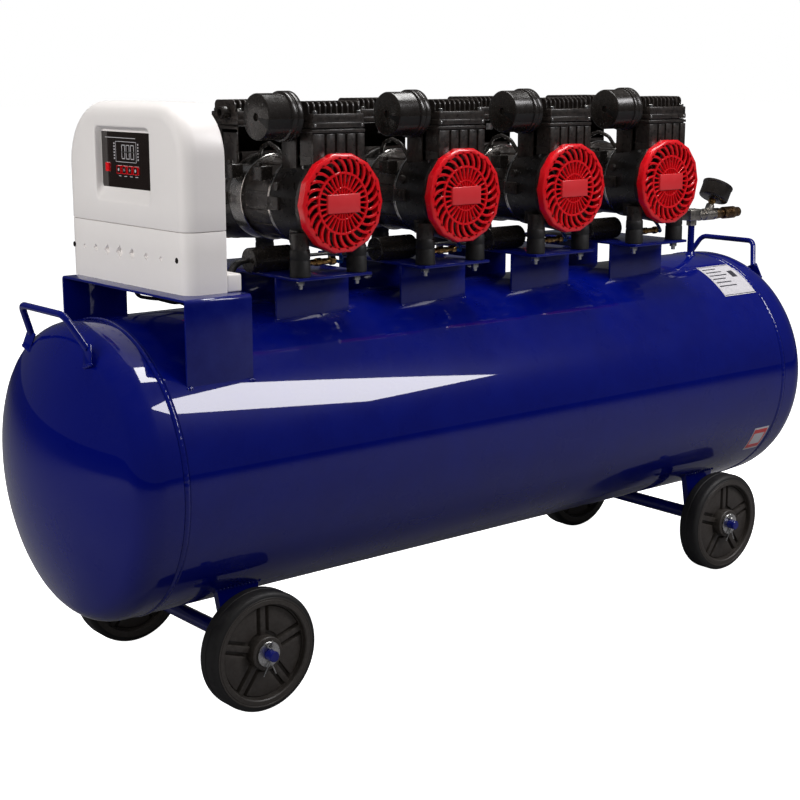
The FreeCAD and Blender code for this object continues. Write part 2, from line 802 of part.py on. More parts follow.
def cable_exits():
    return [(cable_exit_x, y) for y in cable_exit_y]


def box_solid(inset):
    """Whole control box outline less an inset all round: domed shoulders over straight sides."""
    y0 = box_y[0] + inset
    y1 = box_y[1] - inset
    top = box_top_z - inset
    front = box_face_x + inset
    back = box_back_x - inset
    body = box(front, back, y0, y1, bracket_top_z + inset, top)
    for y, radius in ((y1, shoulder_left), (y0, shoulder_right)):
        crest = [e for e in body.Edges if abs(e.CenterOfMass.z - top) < 1e-6
                 and abs(e.CenterOfMass.y - y) < 1e-6 and abs(e.Length - (back - front)) < 1e-6]
        body = body.makeFillet(radius - inset, crest)
    rim = [e for e in body.Edges if abs(e.BoundBox.XMax - front) < 1e-6 and e.BoundBox.ZMax > box_seam_z]
    return body.makeFillet(face_round - inset, rim)


def box_base():
    below = box(box_face_x - 50, box_ledge_x + 50, box_y[0] - 50, box_y[1] + 50, 0, box_seam_z)
    outer = box_solid(0).common(below)
    ledge = box(box_back_x - 1, box_ledge_x, box_y[0], box_y[1], bracket_top_z, ledge_top_z)
    outer = fuse([outer, ledge])
    inner = box_solid(box_wall).common(below)
    solid = outer.cut(inner)
    for x, y in cable_exits():
        solid = solid.cut(rod(cable_radius + cable_hole_clearance, (x, y, 0), (x, y, bracket_top_z + box_wall)))
    return solid


def box_cover():
    above = box(box_face_x - 50, box_ledge_x + 50, box_y[0] - 50, box_y[1] + 50, box_seam_z, box_top_z + 50)
    outer = box_solid(0).common(above)
    inner = box_solid(box_wall).common(above)
    shell = outer.cut(inner)
    y0, y1 = recess_y
    z0, z1 = recess_z
    well = box(box_face_x, box_face_x + recess_depth + box_wall, y0 - box_wall, y1 + box_wall,
               z0 - box_wall, z1 + box_wall)
    shell = fuse([shell, well.common(outer)])
    recess = box(box_face_x - 1, box_face_x + recess_depth, y0, y1, z0, z1)
    window = box(box_face_x - 1, box_face_x + recess_depth + box_wall + 1, panel_y[0] + panel_lap,
                 panel_y[1] - panel_lap, panel_z[0] + panel_lap, panel_z[1] - panel_lap)
    return shell.cut(recess).cut(window)


def key_places():
    """Centre y, centre z, half width and half height of each key; the first is the power button."""
    places = {"power_button": power_button_place + power_button_half}
    for index, name in enumerate(("key_mode", "key_up", "key_down", "key_set")):
        places[name] = (first_key_place[0] - key_pitch * index, first_key_place[1], key_half, key_half)
    return places


def panel_face_x():
    return box_face_x + recess_depth - panel_thickness


def key_solid(name, clearance):
    y, z, half_y, half_z = key_places()[name]
    face = panel_face_x()
    cap = box(face - key_proud, face + panel_thickness + 2.0, y - half_y - clearance, y + half_y + clearance,
              z - half_z - clearance, z + half_z + clearance)
    return cap


def display_panel():
    face = panel_face_x()
    plate = box(face, face + panel_thickness, panel_y[0], panel_y[1], panel_z[0], panel_z[1])
    for name in key_places():
        plate = plate.cut(key_solid(name, key_clearance))
    return plate


def control_board():
    x = box_back_x - 20
    z0 = bracket_top_z
    board = box(x, x + 2, box_y[0] + 40, box_y[1] - 60, z0 + 28, z0 + 228)
    relays = [box(x - 22, x, y, y + 34, z0 + 58, z0 + 98) for y in (-90, -40, 10, 60)]
    spots = [(y, z0 + rise) for y in (-80, 130) for rise in (43, 80)]
    posts = [rod(4, (x + 2, y, z), (box_back_x - box_wall, y, z)) for y, z in spots]
    return fuse([board] + relays + posts)


# ---- outlet manifold -----------------------------------------------------------

def riser_pipe():
    foot = tank_axis_z + math.sqrt((tank_radius - tank_wall) ** 2 - outlet_y ** 2)
    pipe = rod(riser_radius, (riser_x, outlet_y, foot), (riser_x, outlet_y, outlet_z - elbow_drop))
    return pipe.cut(rod(riser_radius - riser_wall, (riser_x, outlet_y, foot), (riser_x, outlet_y, outlet_z)))


def outlet_block():
    x0, x1 = block_x
    drop = rod(elbow_radius, (riser_x, outlet_y, outlet_z - elbow_drop), (riser_x, outlet_y, outlet_z))
    core = box(x0, x1, outlet_y - block_half_y, outlet_y + block_half_y,
               outlet_z - block_z_reach[0], outlet_z + block_z_reach[1])
    body = rod(body_radius, (x1, outlet_y, outlet_z), (body_end_x, outlet_y, outlet_z))
    boss = rod(gauge_boss_radius, (gauge_stem_x, outlet_y, outlet_z), gauge_point(gauge_boss))
    solid = fuse([drop, core, body, boss])
    below = (riser_x, outlet_y, outlet_z - elbow_drop)
    bore = rod(riser_radius - riser_wall, below, (riser_x, outlet_y, outlet_z))
    return solid.cut(bore)


def gauge_axis():
    angle = math.radians(gauge_tilt)
    return V(math.sin(angle), 0, math.cos(angle))


def gauge_point(distance):
    point = V(gauge_stem_x, outlet_y, outlet_z) + gauge_axis() * (body_radius + distance)
    return (point.x, point.y, point.z)


def gauge_body():
    """Gauge case with its brass stem, open at the dial."""
    face = gauge_case_gap + gauge_depth
    stem = rod(gauge_stem_radius, gauge_point(gauge_boss), gauge_point(gauge_case_gap + 2.0))
    case = rod(gauge_radius, gauge_point(gauge_case_gap), gauge_point(face))
    dish = rod(gauge_radius - gauge_wall, gauge_point(face - gauge_dish), gauge_point(face))
    pivot = rod(pivot_radius, gauge_point(face - gauge_dish - 1.0), gauge_point(face - gauge_wall))
    return fuse([fuse([stem, case]).cut(dish), pivot])


def gauge_needle():
    """Pointer on its hub, pointing at the low end of the scale."""
    height = gauge_case_gap + gauge_depth - gauge_dish + 2.0
    hub = rod(4.0, gauge_point(height), gauge_point(height + 2.0))
    centre = V(*gauge_point(height))
    blade = Part.makeBox(needle_length, 1.6, 1.2, V(-needle_tail, -0.8, 0.4))
    blade.rotate(V(0, 0, 0), Z_AXIS, needle_rest_angle)
    blade.rotate(V(0, 0, 0), Y_AXIS, gauge_tilt)
    blade.translate(centre)
    hole = rod(pivot_radius + shaft_clearance, gauge_point(height - 2), gauge_point(height + 6))
    return fuse([hub, blade]).cut(hole)


def outlet_coupler():
    def along(radius, x0, x1):
        return rod(radius, (x0, outlet_y, outlet_z), (x1, outlet_y, outlet_z))
    root = along(body_radius, body_end_x, sleeve_x[0] - sleeve_travel - 2)
    core = along(coupler_core_radius, body_end_x, coupler_end_x)
    collar = along(coupler_core_radius + coupler_collar, sleeve_x[1] + 1, coupler_end_x)
    return fuse([root, core, collar]).cut(along(coupler_bore, body_end_x, coupler_end_x))


def coupler_sleeve():
    sleeve = rod(body_radius, (sleeve_x[0], outlet_y, outlet_z), (sleeve_x[1], outlet_y, outlet_z))
    front = [e for e in sleeve.Edges if e.Length > 70 and abs(e.CenterOfMass.x - sleeve_x[1]) < 1e-6]
    sleeve = sleeve.makeFillet(sleeve_edge, front)
    bore_radius = coupler_core_radius + sleeve_clearance
    bore = rod(bore_radius, (sleeve_x[0], outlet_y, outlet_z), (sleeve_x[1], outlet_y, outlet_z))
    return sleeve.cut(bore)


def safety_valve():
    """Relief valve screwed into the back of the outlet block."""
    y0 = outlet_y + block_half_y
    y1 = y0 + safety_valve_length
    y2 = y1 + safety_cap_length
    body = rod(safety_valve_radius, (riser_x, y0, outlet_z), (riser_x, y1, outlet_z))
    cap = rod(safety_cap_radius, (riser_x, y1, outlet_z), (riser_x, y2, outlet_z))
    hole = rod(safety_stem_radius + 0.1, (riser_x, y1 - 10, outlet_z), (riser_x, y2, outlet_z))
    return fuse([body, cap]).cut(hole)


def safety_pull():
    """Pull ring on its stem, which lifts the relief valve."""
    y1 = outlet_y + block_half_y + safety_valve_length
    tip = y1 + safety_cap_length + 4
    stem = rod(safety_stem_radius, (riser_x, y1 - 8, outlet_z), (riser_x, tip, outlet_z))
    ring = Part.makeTorus(safety_ring_radius, 1.3, V(riser_x, tip + safety_ring_radius, outlet_z), X_AXIS)
    return fuse([stem, ring])


def drain_valve():
    top = tank_axis_z - tank_radius + tank_wall
    body = rod(drain_radius, (0, 0, drain_bottom_z), (0, 0, top))
    z = drain_bottom_z + drain_side_rise
    collar = rod(drain_collar_radius, (0, 0, z - 7), (0, 0, z + 7))
    side = rod(drain_side_radius, (0, 0, z), (0, -drain_side_length, z))
    solid = fuse([body, collar, side])
    solid = solid.cut(rod(3.0, (0, 0, drain_bottom_z), (0, 0, top)))
    spindle_hole = rod(spindle_radius + shaft_clearance, (0, -drain_radius, z), (0, -drain_side_length, z))
    return moved(solid.cut(spindle_hole), drain_x, 0, 0)


def drain_tap():
    z = drain_bottom_z + drain_side_rise
    spindle = rod(spindle_radius, (0, -drain_radius - 0.5, z), (0, tap_y[1] - 2, z))
    wing = box(-tap_half, tap_half, tap_y[0], tap_y[1], z - tap_half_height, z + tap_half_height)
    return moved(fuse([spindle, wing]), drain_x, 0, 0)


# ---- hoses and cables ----------------------------------------------------------

def discharge_hoses():
    """Braided hoses that hang from one pump to the next under the castings."""
    hoses = []
    y = hose_y
    for x in pump_positions()[:-1]:
        start = (x + 66, y, shaft_z - 70)
        end = (x + pump_pitch - 82, y, shaft_z - 88)
        points = [start, (start[0] + 22, y, shaft_z - 74), (x + pump_pitch / 2 + 4, y, shaft_z - 90),
                  (end[0] - 20, y, shaft_z - 88.5), end]
        hoses.append(swept(points, 40.0, hose_radius))
    return hoses


def cables():
    """Leads from the control box and short links from pump to pump."""
    leads = []
    z = saddle_top_z + capacitor_radius + capacitor_gap
    can_start, can_end = capacitor_ends
    for (x, y), shift in zip(cable_exits(), (0, 22, 40)):
        end_x = first_pump_x + can_start
        y_can = capacitor_y + shift / 4
        radius = cable_radius if shift == 0 else link_radius
        z0 = bracket_top_z
        points = [(x, y, z0 - 1), (x, y, z0 - 20 - shift * 0.2), (x + 36, y - 6, z0 - 36),
                  (x + 96, y_can, z0 - 22), (end_x - 24, y_can, z - 4), (end_x, y_can, z)]
        leads.append(swept(points, 26.0, radius))
    for x in pump_positions()[:-1]:
        end_x = x + pump_pitch + can_start
        points = [(x + can_end, capacitor_y, z), (x + can_end + 80, capacitor_y, z),
                  (x + can_end + 130, capacitor_y + 6, z - 6), (end_x - 10, capacitor_y, z),
                  (end_x, capacitor_y, z)]
        leads.append(swept(points, 60.0, link_radius))
    cans = group([moved(run_capacitor(), x, 0, shaft_z) for x in pump_positions()])
    return [lead.cut(cans) for lead in leads]


def build():
    head = tank_head()
    handle = lift_handle()
    legs = leg_frame()
    front_wheel = wheel()
    rear_wheel = mirrored_y(front_wheel)
    parts["tank_shell"] = tank_shell()
    parts["tank_head_right"] = head
    parts["tank_head_left"] = mirrored_x(head)
    parts["lift_handle_right"] = handle
    parts["lift_handle_left"] = mirrored_x(handle)
    parts["leg_frame_left"] = moved(legs, -wheel_x, 0, 0)
    parts["leg_frame_right"] = moved(legs, wheel_x, 0, 0)
    parts["axles"] = group([moved(axle(), side * wheel_x, 0, 0) for side in (-1, 1)])
    for name, side in (("left", -1), ("right", 1)):
        parts["wheel_front_" + name] = moved(front_wheel, side * wheel_x, 0, 0)
        parts["wheel_rear_" + name] = moved(rear_wheel, side * wheel_x, 0, 0)
    discs = []
    pins = []
    for side in (-1, 1):
        for piece, out in ((washer(), discs), (cotter_pin(), pins)):
            out.append(moved(piece, side * wheel_x, 0, 0))
            out.append(moved(mirrored_y(piece), side * wheel_x, 0, 0))
    parts["axle_washers"] = group(discs)
    parts["cotter_pins"] = group(pins)

    parts["pump_saddles"] = group([moved(saddle(), x, 0, 0) for x in pump_positions()])
    parts["pump_feet"] = group([moved(pad, x, 0, 0) for x in pump_positions() for pad in feet()])
    parts["foot_bolts"] = group([moved(bolt, x, 0, 0) for x in pump_positions() for bolt in foot_bolt_set()])
    case = crankcase()
    cover = cylinder_head()
    guard = grill()
    spinner = rotor()
    sleeve = motor()
    slug = piston()
    screws = cap_screws()
    for index, x in enumerate(pump_positions()):
        number = str(index + 1)
        parts["crankcases_" + number] = moved(group([case, mirrored_y(case)]), x, 0, shaft_z)
        parts["fan_grills_" + number] = moved(group([guard, mirrored_y(guard)]), x, 0, shaft_z)
        parts["motor_" + number] = moved(sleeve, x, 0, shaft_z)
        parts["rotor_" + number] = moved(spinner, x, 0, shaft_z)
    parts["cylinder_heads"] = group(at_pumps(group([cover, mirrored_y(cover)])))
    parts["pistons"] = group(at_pumps(group([slug, mirrored_y(slug)])))
    parts["intake_filters"] = group(at_pumps(intake_filter()))
    parts["cap_screws"] = group(at_pumps(group(screws + [mirrored_y(s) for s in screws])))
    parts["run_capacitors"] = group(at_pumps(run_capacitor()))
    parts["discharge_hoses"] = group(discharge_hoses())
    parts["control_cables"] = group(cables())

    parts["control_bracket"] = control_bracket()
    parts["control_box_base"] = box_base()
    parts["control_box_cover"] = box_cover()
    parts["control_board"] = control_board()
    parts["display_panel"] = display_panel()
    for name in key_places():
        parts[name] = key_solid(name, 0)

    parts["riser_pipe"] = riser_pipe()
    parts["outlet_block"] = outlet_block()
    parts["gauge_body"] = gauge_body()
    parts["gauge_needle"] = gauge_needle()
    parts["outlet_coupler"] = outlet_coupler()
    parts["coupler_sleeve"] = coupler_sleeve()
    parts["safety_valve"] = safety_valve()
    parts["safety_pull"] = safety_pull()
    parts["drain_valve"] = drain_valve()
    parts["drain_tap"] = drain_tap()


build()
os.makedirs("parts", exist_ok=True)
for name, shape in parts.items():
    if not shape.isValid() or not shape.Solids:
        raise SystemExit("bad shape: " + name)
    shape.exportStep("parts/" + name + ".step")
print(len(parts), "parts written, tank ends at", round(head_reach(), 1))
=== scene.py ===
import bpy
import bmesh
import json
import math
from mathutils import Matrix, Vector, noise


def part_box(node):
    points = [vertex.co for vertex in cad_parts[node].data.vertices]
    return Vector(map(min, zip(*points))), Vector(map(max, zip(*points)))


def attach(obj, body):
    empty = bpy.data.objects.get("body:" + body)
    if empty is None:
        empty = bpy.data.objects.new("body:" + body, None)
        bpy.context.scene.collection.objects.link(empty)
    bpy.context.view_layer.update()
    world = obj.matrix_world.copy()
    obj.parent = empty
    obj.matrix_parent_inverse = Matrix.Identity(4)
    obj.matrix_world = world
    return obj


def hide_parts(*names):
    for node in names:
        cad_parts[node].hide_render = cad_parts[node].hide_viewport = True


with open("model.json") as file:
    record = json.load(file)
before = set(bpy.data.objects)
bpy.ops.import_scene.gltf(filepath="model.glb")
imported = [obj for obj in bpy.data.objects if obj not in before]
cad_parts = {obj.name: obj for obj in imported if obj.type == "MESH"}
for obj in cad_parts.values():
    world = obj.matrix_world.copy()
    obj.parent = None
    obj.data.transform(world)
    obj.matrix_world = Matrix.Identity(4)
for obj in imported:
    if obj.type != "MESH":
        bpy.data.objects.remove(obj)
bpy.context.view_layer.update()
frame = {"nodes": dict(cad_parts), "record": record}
print("frame loaded,", len(frame["nodes"]), "nodes")

# lengths in the script are millimetres, each mesh is scaled to metres when it is finished
mm = 0.001
pumpNames = ["1", "2", "3", "4"]


def nodeBox(name):
    low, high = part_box(name)
    return low / mm, high / mm


def middle(name):
    low, high = nodeBox(name)
    return (low + high) / 2


# mesh helpers

def sharpEdges(edges, angle):
    limit = math.radians(angle)
    return [e for e in edges if e.is_valid and len(e.link_faces) == 2 and e.calc_face_angle(0) > limit]


def roundEdges(bm, edges, width, segments, clamp=True):
    bmesh.ops.bevel(bm, geom=edges, offset=width, offset_type="OFFSET", segments=segments, profile=0.5,
                    affect="EDGES", clamp_overlap=clamp, material=-1)


def soften(bm, width, segments=2, angle=35, edges=None):
    picked = sharpEdges(bm.edges if edges is None else edges, angle)
    if picked and width > 0:
        roundEdges(bm, picked, width, segments)


def edgesOf(verts):
    return list({e for v in verts for e in v.link_edges})


def addCube(bm, place, size, edge=0.0, segments=2):
    made = bmesh.ops.create_cube(bm, size=1, matrix=place @ Matrix.Diagonal((*size, 1)))
    soften(bm, edge, segments, 35, edgesOf(made["verts"]))
    return made["verts"]


def addBlock(bm, low, high, edge=0.0, segments=2):
    low, high = Vector(low), Vector(high)
    addCube(bm, Matrix.Translation((low + high) / 2), [abs(c) for c in high - low], edge, segments)


def extrudeLoop(bm, ring, step):
    # a flat loop of points carried along one step, as a closed solid
    face = bm.faces.new(ring)
    grown = bmesh.ops.extrude_face_region(bm, geom=[face])["geom"]
    far = [g for g in grown if isinstance(g, bmesh.types.BMVert)]
    bmesh.ops.translate(bm, verts=far, vec=step)
    return ring + far


def aim(direction):
    return Vector(direction).to_track_quat("Z", "Y").to_matrix().to_4x4()


def addRod(bm, radius, start, end, sides=32, edge=0.0, endRadius=None, segments=2):
    start, end = Vector(start), Vector(end)
    place = Matrix.Translation((start + end) / 2) @ aim(end - start)
    made = bmesh.ops.create_cone(bm, cap_ends=True, cap_tris=False, segments=sides, radius1=radius,
                                 radius2=radius if endRadius is None else endRadius,
                                 depth=(end - start).length, matrix=place)
    soften(bm, edge, segments, 50, edgesOf(made["verts"]))


def addTurned(bm, outline, origin, direction, sides=48, edge=0.0, closed=True, segments=2):
    # outline is (distance along the axis, radius) pairs, spun right round
    place = Matrix.Translation(Vector(origin)) @ aim(direction)
    verts = [bm.verts.new(place @ Vector((r, 0, a))) for a, r in outline]
    pairs = list(zip(verts, verts[1:])) + ([(verts[-1], verts[0])] if closed else [])
    lines = [bm.edges.new(p) for p in pairs]
    axis = (place.to_3x3() @ Vector((0, 0, 1))).normalized()
    before = set(bm.verts) - set(verts)
    bmesh.ops.spin(bm, geom=verts + lines, cent=Vector(origin), axis=axis, dvec=(0, 0, 0),
                   angle=2 * math.pi, steps=sides, use_merge=True, use_duplicate=False)
    fresh = [v for v in bm.verts if v not in before]
    bmesh.ops.remove_doubles(bm, verts=fresh, dist=0.0005)
    fresh = [v for v in bm.verts if v not in before]
    faces = list({f for v in fresh for f in v.link_faces})
    bmesh.ops.recalc_face_normals(bm, faces=faces)
    soften(bm, edge, segments, 35, edgesOf(fresh))


def arcOn(bm, vert, centre, axis, degrees, steps):
    # carries one outline point round an arc and gives the new points in order
    before = set(bm.verts)
    bmesh.ops.spin(bm, geom=[vert], cent=centre, axis=axis, dvec=(0, 0, 0), angle=math.radians(degrees),
                   steps=steps, use_merge=False, use_duplicate=False)
    return [v for v in bm.verts if v not in before]


def addTube(bm, points, radius, sides=16, bend=12.0, bendSteps=6):
    # a round bar along straight runs with rounded corners
    pts = [Vector(p) for p in points]
    path = [pts[0]]
    for before, corner, after in zip(pts, pts[1:], pts[2:]):
        back = (before - corner).normalized()
        ahead = (after - corner).normalized()
        half = (math.pi - back.angle(ahead)) / 2
        trim = min(bend * math.tan(half), 0.49 * min((before - corner).length, (after - corner).length))
        for step in range(bendSteps + 1):
            t = step / bendSteps
            a, c = corner + back * trim, corner + ahead * trim
            path.append(a.lerp(corner, t).lerp(corner.lerp(c, t), t))
    path.append(pts[-1])
    heading = (path[1] - path[0]).normalized()
    ring = bmesh.ops.create_circle(bm, cap_ends=True, radius=radius, segments=sides,
                                   matrix=Matrix.Translation(path[0]) @ aim(heading))["verts"]
    face = list({f for v in ring for f in v.link_faces if all(w in ring for w in f.verts)})[0]
    for index in range(1, len(path)):
        grown = bmesh.ops.extrude_face_region(bm, geom=[face])["geom"]
        if index > 1:
            bmesh.ops.delete(bm, geom=[face], context="FACES_ONLY")
        ringVerts = [g for g in grown if isinstance(g, bmesh.types.BMVert)]
        face = [g for g in grown if isinstance(g, bmesh.types.BMFace)][0]
        bmesh.ops.translate(bm, verts=ringVerts, vec=path[index] - path[index - 1])
        onward = (path[min(index + 1, len(path) - 1)] - path[index - 1]).normalized()
        turn = heading.rotation_difference(onward).to_matrix()
        bmesh.ops.rotate(bm, verts=ringVerts, cent=path[index], matrix=turn)
        heading = onward


def meshOf(bm, name, materials, recalc=True):
    if recalc:
        bmesh.ops.recalc_face_normals(bm, faces=bm.faces)
    mesh = bpy.data.meshes.new(name)
    bm.to_mesh(mesh)
    bm.free()
    mesh.transform(Matrix.Scale(mm, 4))
    for material in materials if isinstance(materials, (list, tuple)) else [materials]:
        mesh.materials.append(material)
    return mesh


def finishPiece(bm, name, materials, body="tank", slot=None, replaces=(), smooth=38, recalc=True):
    return placePiece(meshOf(bm, name, materials, recalc), name, body, slot, replaces, smooth)


def placePiece(mesh, name, body="tank", slot=None, replaces=(), smooth=38):
    piece = bpy.data.objects.new(name, mesh)
    bpy.context.scene.collection.objects.link(piece)
    mesh.shade_smooth()
    mesh.set_sharp_from_angle(angle=math.radians(smooth))
    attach(piece, body)
    if replaces:
        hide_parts(*replaces)
    return piece


def copyAt(mesh, offset, name, **where):
    twin = mesh.copy()
    twin.transform(Matrix.Translation(Vector(offset) * mm))
    twin.name = name
    return placePiece(twin, name, **where)


def paintFaces(bm, index, start):
    # faces made since start take material number index
    for face in list(bm.faces)[start:]:
        face.material_index = index


# shared shader effects, each one a node group with named sockets

def newGroup(name, inputs, outputs):
    group = bpy.data.node_groups.new(name, "ShaderNodeTree")
    for label, kind, value in inputs:
        socket = group.interface.new_socket(name=label, in_out="INPUT", socket_type=kind)
        socket.default_value = value
    for label, kind in outputs:
        group.interface.new_socket(name=label, in_out="OUTPUT", socket_type=kind)
    entry = group.nodes.new("NodeGroupInput")
    leave = group.nodes.new("NodeGroupOutput")
    return group, entry, leave


def link(tree, source, target):
    tree.links.new(source, target)


def mathNode(tree, operation, a, b=None, clamp=False):
    node = tree.nodes.new("ShaderNodeMath")
    node.operation = operation
    node.use_clamp = clamp
    for socket, value in zip(node.inputs, (a, b)):
        if value is None:
            continue
        if isinstance(value, (int, float)):
            socket.default_value = value
        else:
            link(tree, value, socket)
    return node.outputs[0]


def rangeNode(tree, value, low, high, toLow=0.0, toHigh=1.0):
    node = tree.nodes.new("ShaderNodeMapRange")
    node.clamp = True
    link(tree, value, node.inputs["Value"])
    for label, number in (("From Min", low), ("From Max", high), ("To Min", toLow), ("To Max", toHigh)):
        if isinstance(number, (int, float)):
            node.inputs[label].default_value = number
        else:
            link(tree, number, node.inputs[label])
    return node.outputs["Result"]


def noiseNode(tree, vector, scale, detail=4.0, roughness=0.55):
    node = tree.nodes.new("ShaderNodeTexNoise")
    link(tree, vector, node.inputs["Vector"])
    node.inputs["Detail"].default_value = detail
    node.inputs["Roughness"].default_value = roughness
    if isinstance(scale, (int, float)):
        node.inputs["Scale"].default_value = scale
    else:
        link(tree, scale, node.inputs["Scale"])
    return node.outputs["Fac"]


def makeSurfaceGrain():
    # two sizes of mottling, for colour and gloss that vary over a surface
    group, entry, leave = newGroup("surfaceGrain",
                                   [("Scale", "NodeSocketFloat", 60.0), ("Cloud Scale", "NodeSocketFloat", 6.0)],
                                   [("Fine", "NodeSocketFloat"), ("Cloud", "NodeSocketFloat")])
    where = group.nodes.new("ShaderNodeTexCoord").outputs["Object"]
    link(group, noiseNode(group, where, entry.outputs["Scale"], 5.0, 0.6), leave.inputs["Fine"])
    link(group, noiseNode(group, where, entry.outputs["Cloud Scale"], 3.0, 0.5), leave.inputs["Cloud"])
    return group


def makeEdgeRub():
    # rubbed corners: high where the surface turns outwards sharply, broken up by noise
    group, entry, leave = newGroup("edgeRub",
                                   [("Reach", "NodeSocketFloat", 0.06), ("Breakup", "NodeSocketFloat", 90.0)],
                                   [("Mask", "NodeSocketFloat"), ("Hollow", "NodeSocketFloat")])
    where = group.nodes.new("ShaderNodeTexCoord").outputs["Object"]
    point = group.nodes.new("ShaderNodeNewGeometry").outputs["Pointiness"]
    high = mathNode(group, "ADD", 0.51, entry.outputs["Reach"])
    rub = rangeNode(group, point, 0.505, high)
    broken = rangeNode(group, noiseNode(group, where, entry.outputs["Breakup"], 4.0, 0.65), 0.38, 0.62)
    link(group, mathNode(group, "MULTIPLY", rub, broken, True), leave.inputs["Mask"])
    link(group, rangeNode(group, point, 0.49, 0.42), leave.inputs["Hollow"])
    return group


def makeDustFilm():
    # pale dust that settles on what faces up
    group, entry, leave = newGroup("dustFilm", [("Amount", "NodeSocketFloat", 0.3), ("Scale", "NodeSocketFloat", 25.0)],
                                   [("Mask", "NodeSocketFloat")])
    where = group.nodes.new("ShaderNodeTexCoord").outputs["Object"]
    facing = group.nodes.new("ShaderNodeSeparateXYZ")
    link(group, group.nodes.new("ShaderNodeNewGeometry").outputs["Normal"], facing.inputs[0])
    up = rangeNode(group, facing.outputs["Z"], 0.35, 1.0)
    patchy = rangeNode(group, noiseNode(group, where, entry.outputs["Scale"], 6.0, 0.7), 0.4, 0.75)
    both = mathNode(group, "MULTIPLY", up, patchy)
    link(group, mathNode(group, "MULTIPLY", both, entry.outputs["Amount"], True), leave.inputs["Mask"])
    return group


def makeSkinBump():
    # the small relief of a finish: orange peel on paint, sand grain on castings, spark grain on mouldings
    group, entry, leave = newGroup("skinBump",
                                   [("Scale", "NodeSocketFloat", 300.0), ("Strength", "NodeSocketFloat", 0.1),
                                    ("Depth", "NodeSocketFloat", 0.0002), ("Pitting", "NodeSocketFloat", 0.0)],
                                   [("Normal", "NodeSocketVector"), ("Height", "NodeSocketFloat")])
    where = group.nodes.new("ShaderNodeTexCoord").outputs["Object"]
    waves = noiseNode(group, where, entry.outputs["Scale"], 2.0, 0.5)
    cells = group.nodes.new("ShaderNodeTexVoronoi")
    link(group, where, cells.inputs["Vector"])
    link(group, entry.outputs["Scale"], cells.inputs["Scale"])
    pits = mathNode(group, "MULTIPLY", rangeNode(group, cells.outputs["Distance"], 0.0, 0.5), entry.outputs["Pitting"])
    height = mathNode(group, "ADD", waves, pits)
    bump = group.nodes.new("ShaderNodeBump")
    link(group, height, bump.inputs["Height"])
    link(group, entry.outputs["Strength"], bump.inputs["Strength"])
    link(group, entry.outputs["Depth"], bump.inputs["Distance"])
    link(group, bump.outputs["Normal"], leave.inputs["Normal"])
    link(group, height, leave.inputs["Height"])
    return group


def makeBrushLines():
    # fine parallel lines left by turning, rolling or brushing, along the stretch given
    group, entry, leave = newGroup("brushLines", [("Stretch", "NodeSocketVector", (40.0, 900.0, 900.0)),
                                                  ("Strength", "NodeSocketFloat", 0.15)],
                                   [("Lines", "NodeSocketFloat"), ("Normal", "NodeSocketVector")])
    where = group.nodes.new("ShaderNodeTexCoord").outputs["Object"]
    long = group.nodes.new("ShaderNodeVectorMath")
    long.operation = "MULTIPLY"
    link(group, where, long.inputs[0])
    link(group, entry.outputs["Stretch"], long.inputs[1])
    lines = noiseNode(group, long.outputs[0], 1.0, 3.0, 0.6)
    bump = group.nodes.new("ShaderNodeBump")
    bump.inputs["Distance"].default_value = 0.0001
    link(group, lines, bump.inputs["Height"])
    link(group, entry.outputs["Strength"], bump.inputs["Strength"])
    link(group, lines, leave.inputs["Lines"])
    link(group, bump.outputs["Normal"], leave.inputs["Normal"])
    return group


surfaceGrain = makeSurfaceGrain()
edgeRub = makeEdgeRub()
dustFilm = makeDustFilm()
skinBump = makeSkinBump()
brushLines = makeBrushLines()


def effect(tree, group, **values):
    node = tree.nodes.new("ShaderNodeGroup")
    node.node_tree = group
    for label, value in values.items():
        node.inputs[label.replace("_", " ")].default_value = value
    return node.outputs


def tone(tree, factor, dark, light):
    ramp = tree.nodes.new("ShaderNodeMix")
    ramp.data_type = "RGBA"
    if isinstance(factor, (int, float)):
        ramp.inputs[0].default_value = factor
    else:
        link(tree, factor, ramp.inputs[0])
    for socket, value in ((ramp.inputs[6], dark), (ramp.inputs[7], light)):
        if isinstance(value, tuple):
            socket.default_value = (*value, 1.0)
        else:
            link(tree, value, socket)
    return ramp.outputs[2]


def srgb(r, g, b):
    return tuple(((c / 255 + 0.055) / 1.055) ** 2.4 if c > 10 else c / 255 / 12.92 for c in (r, g, b))


# what most finishes share; a finish names only what differs
plainFinish = dict(metal=0.0, bump=700.0, pits=0.0, dust=0.02, wear=0.1, coat=0.0, coatRough=0.3, sheen=0.5)
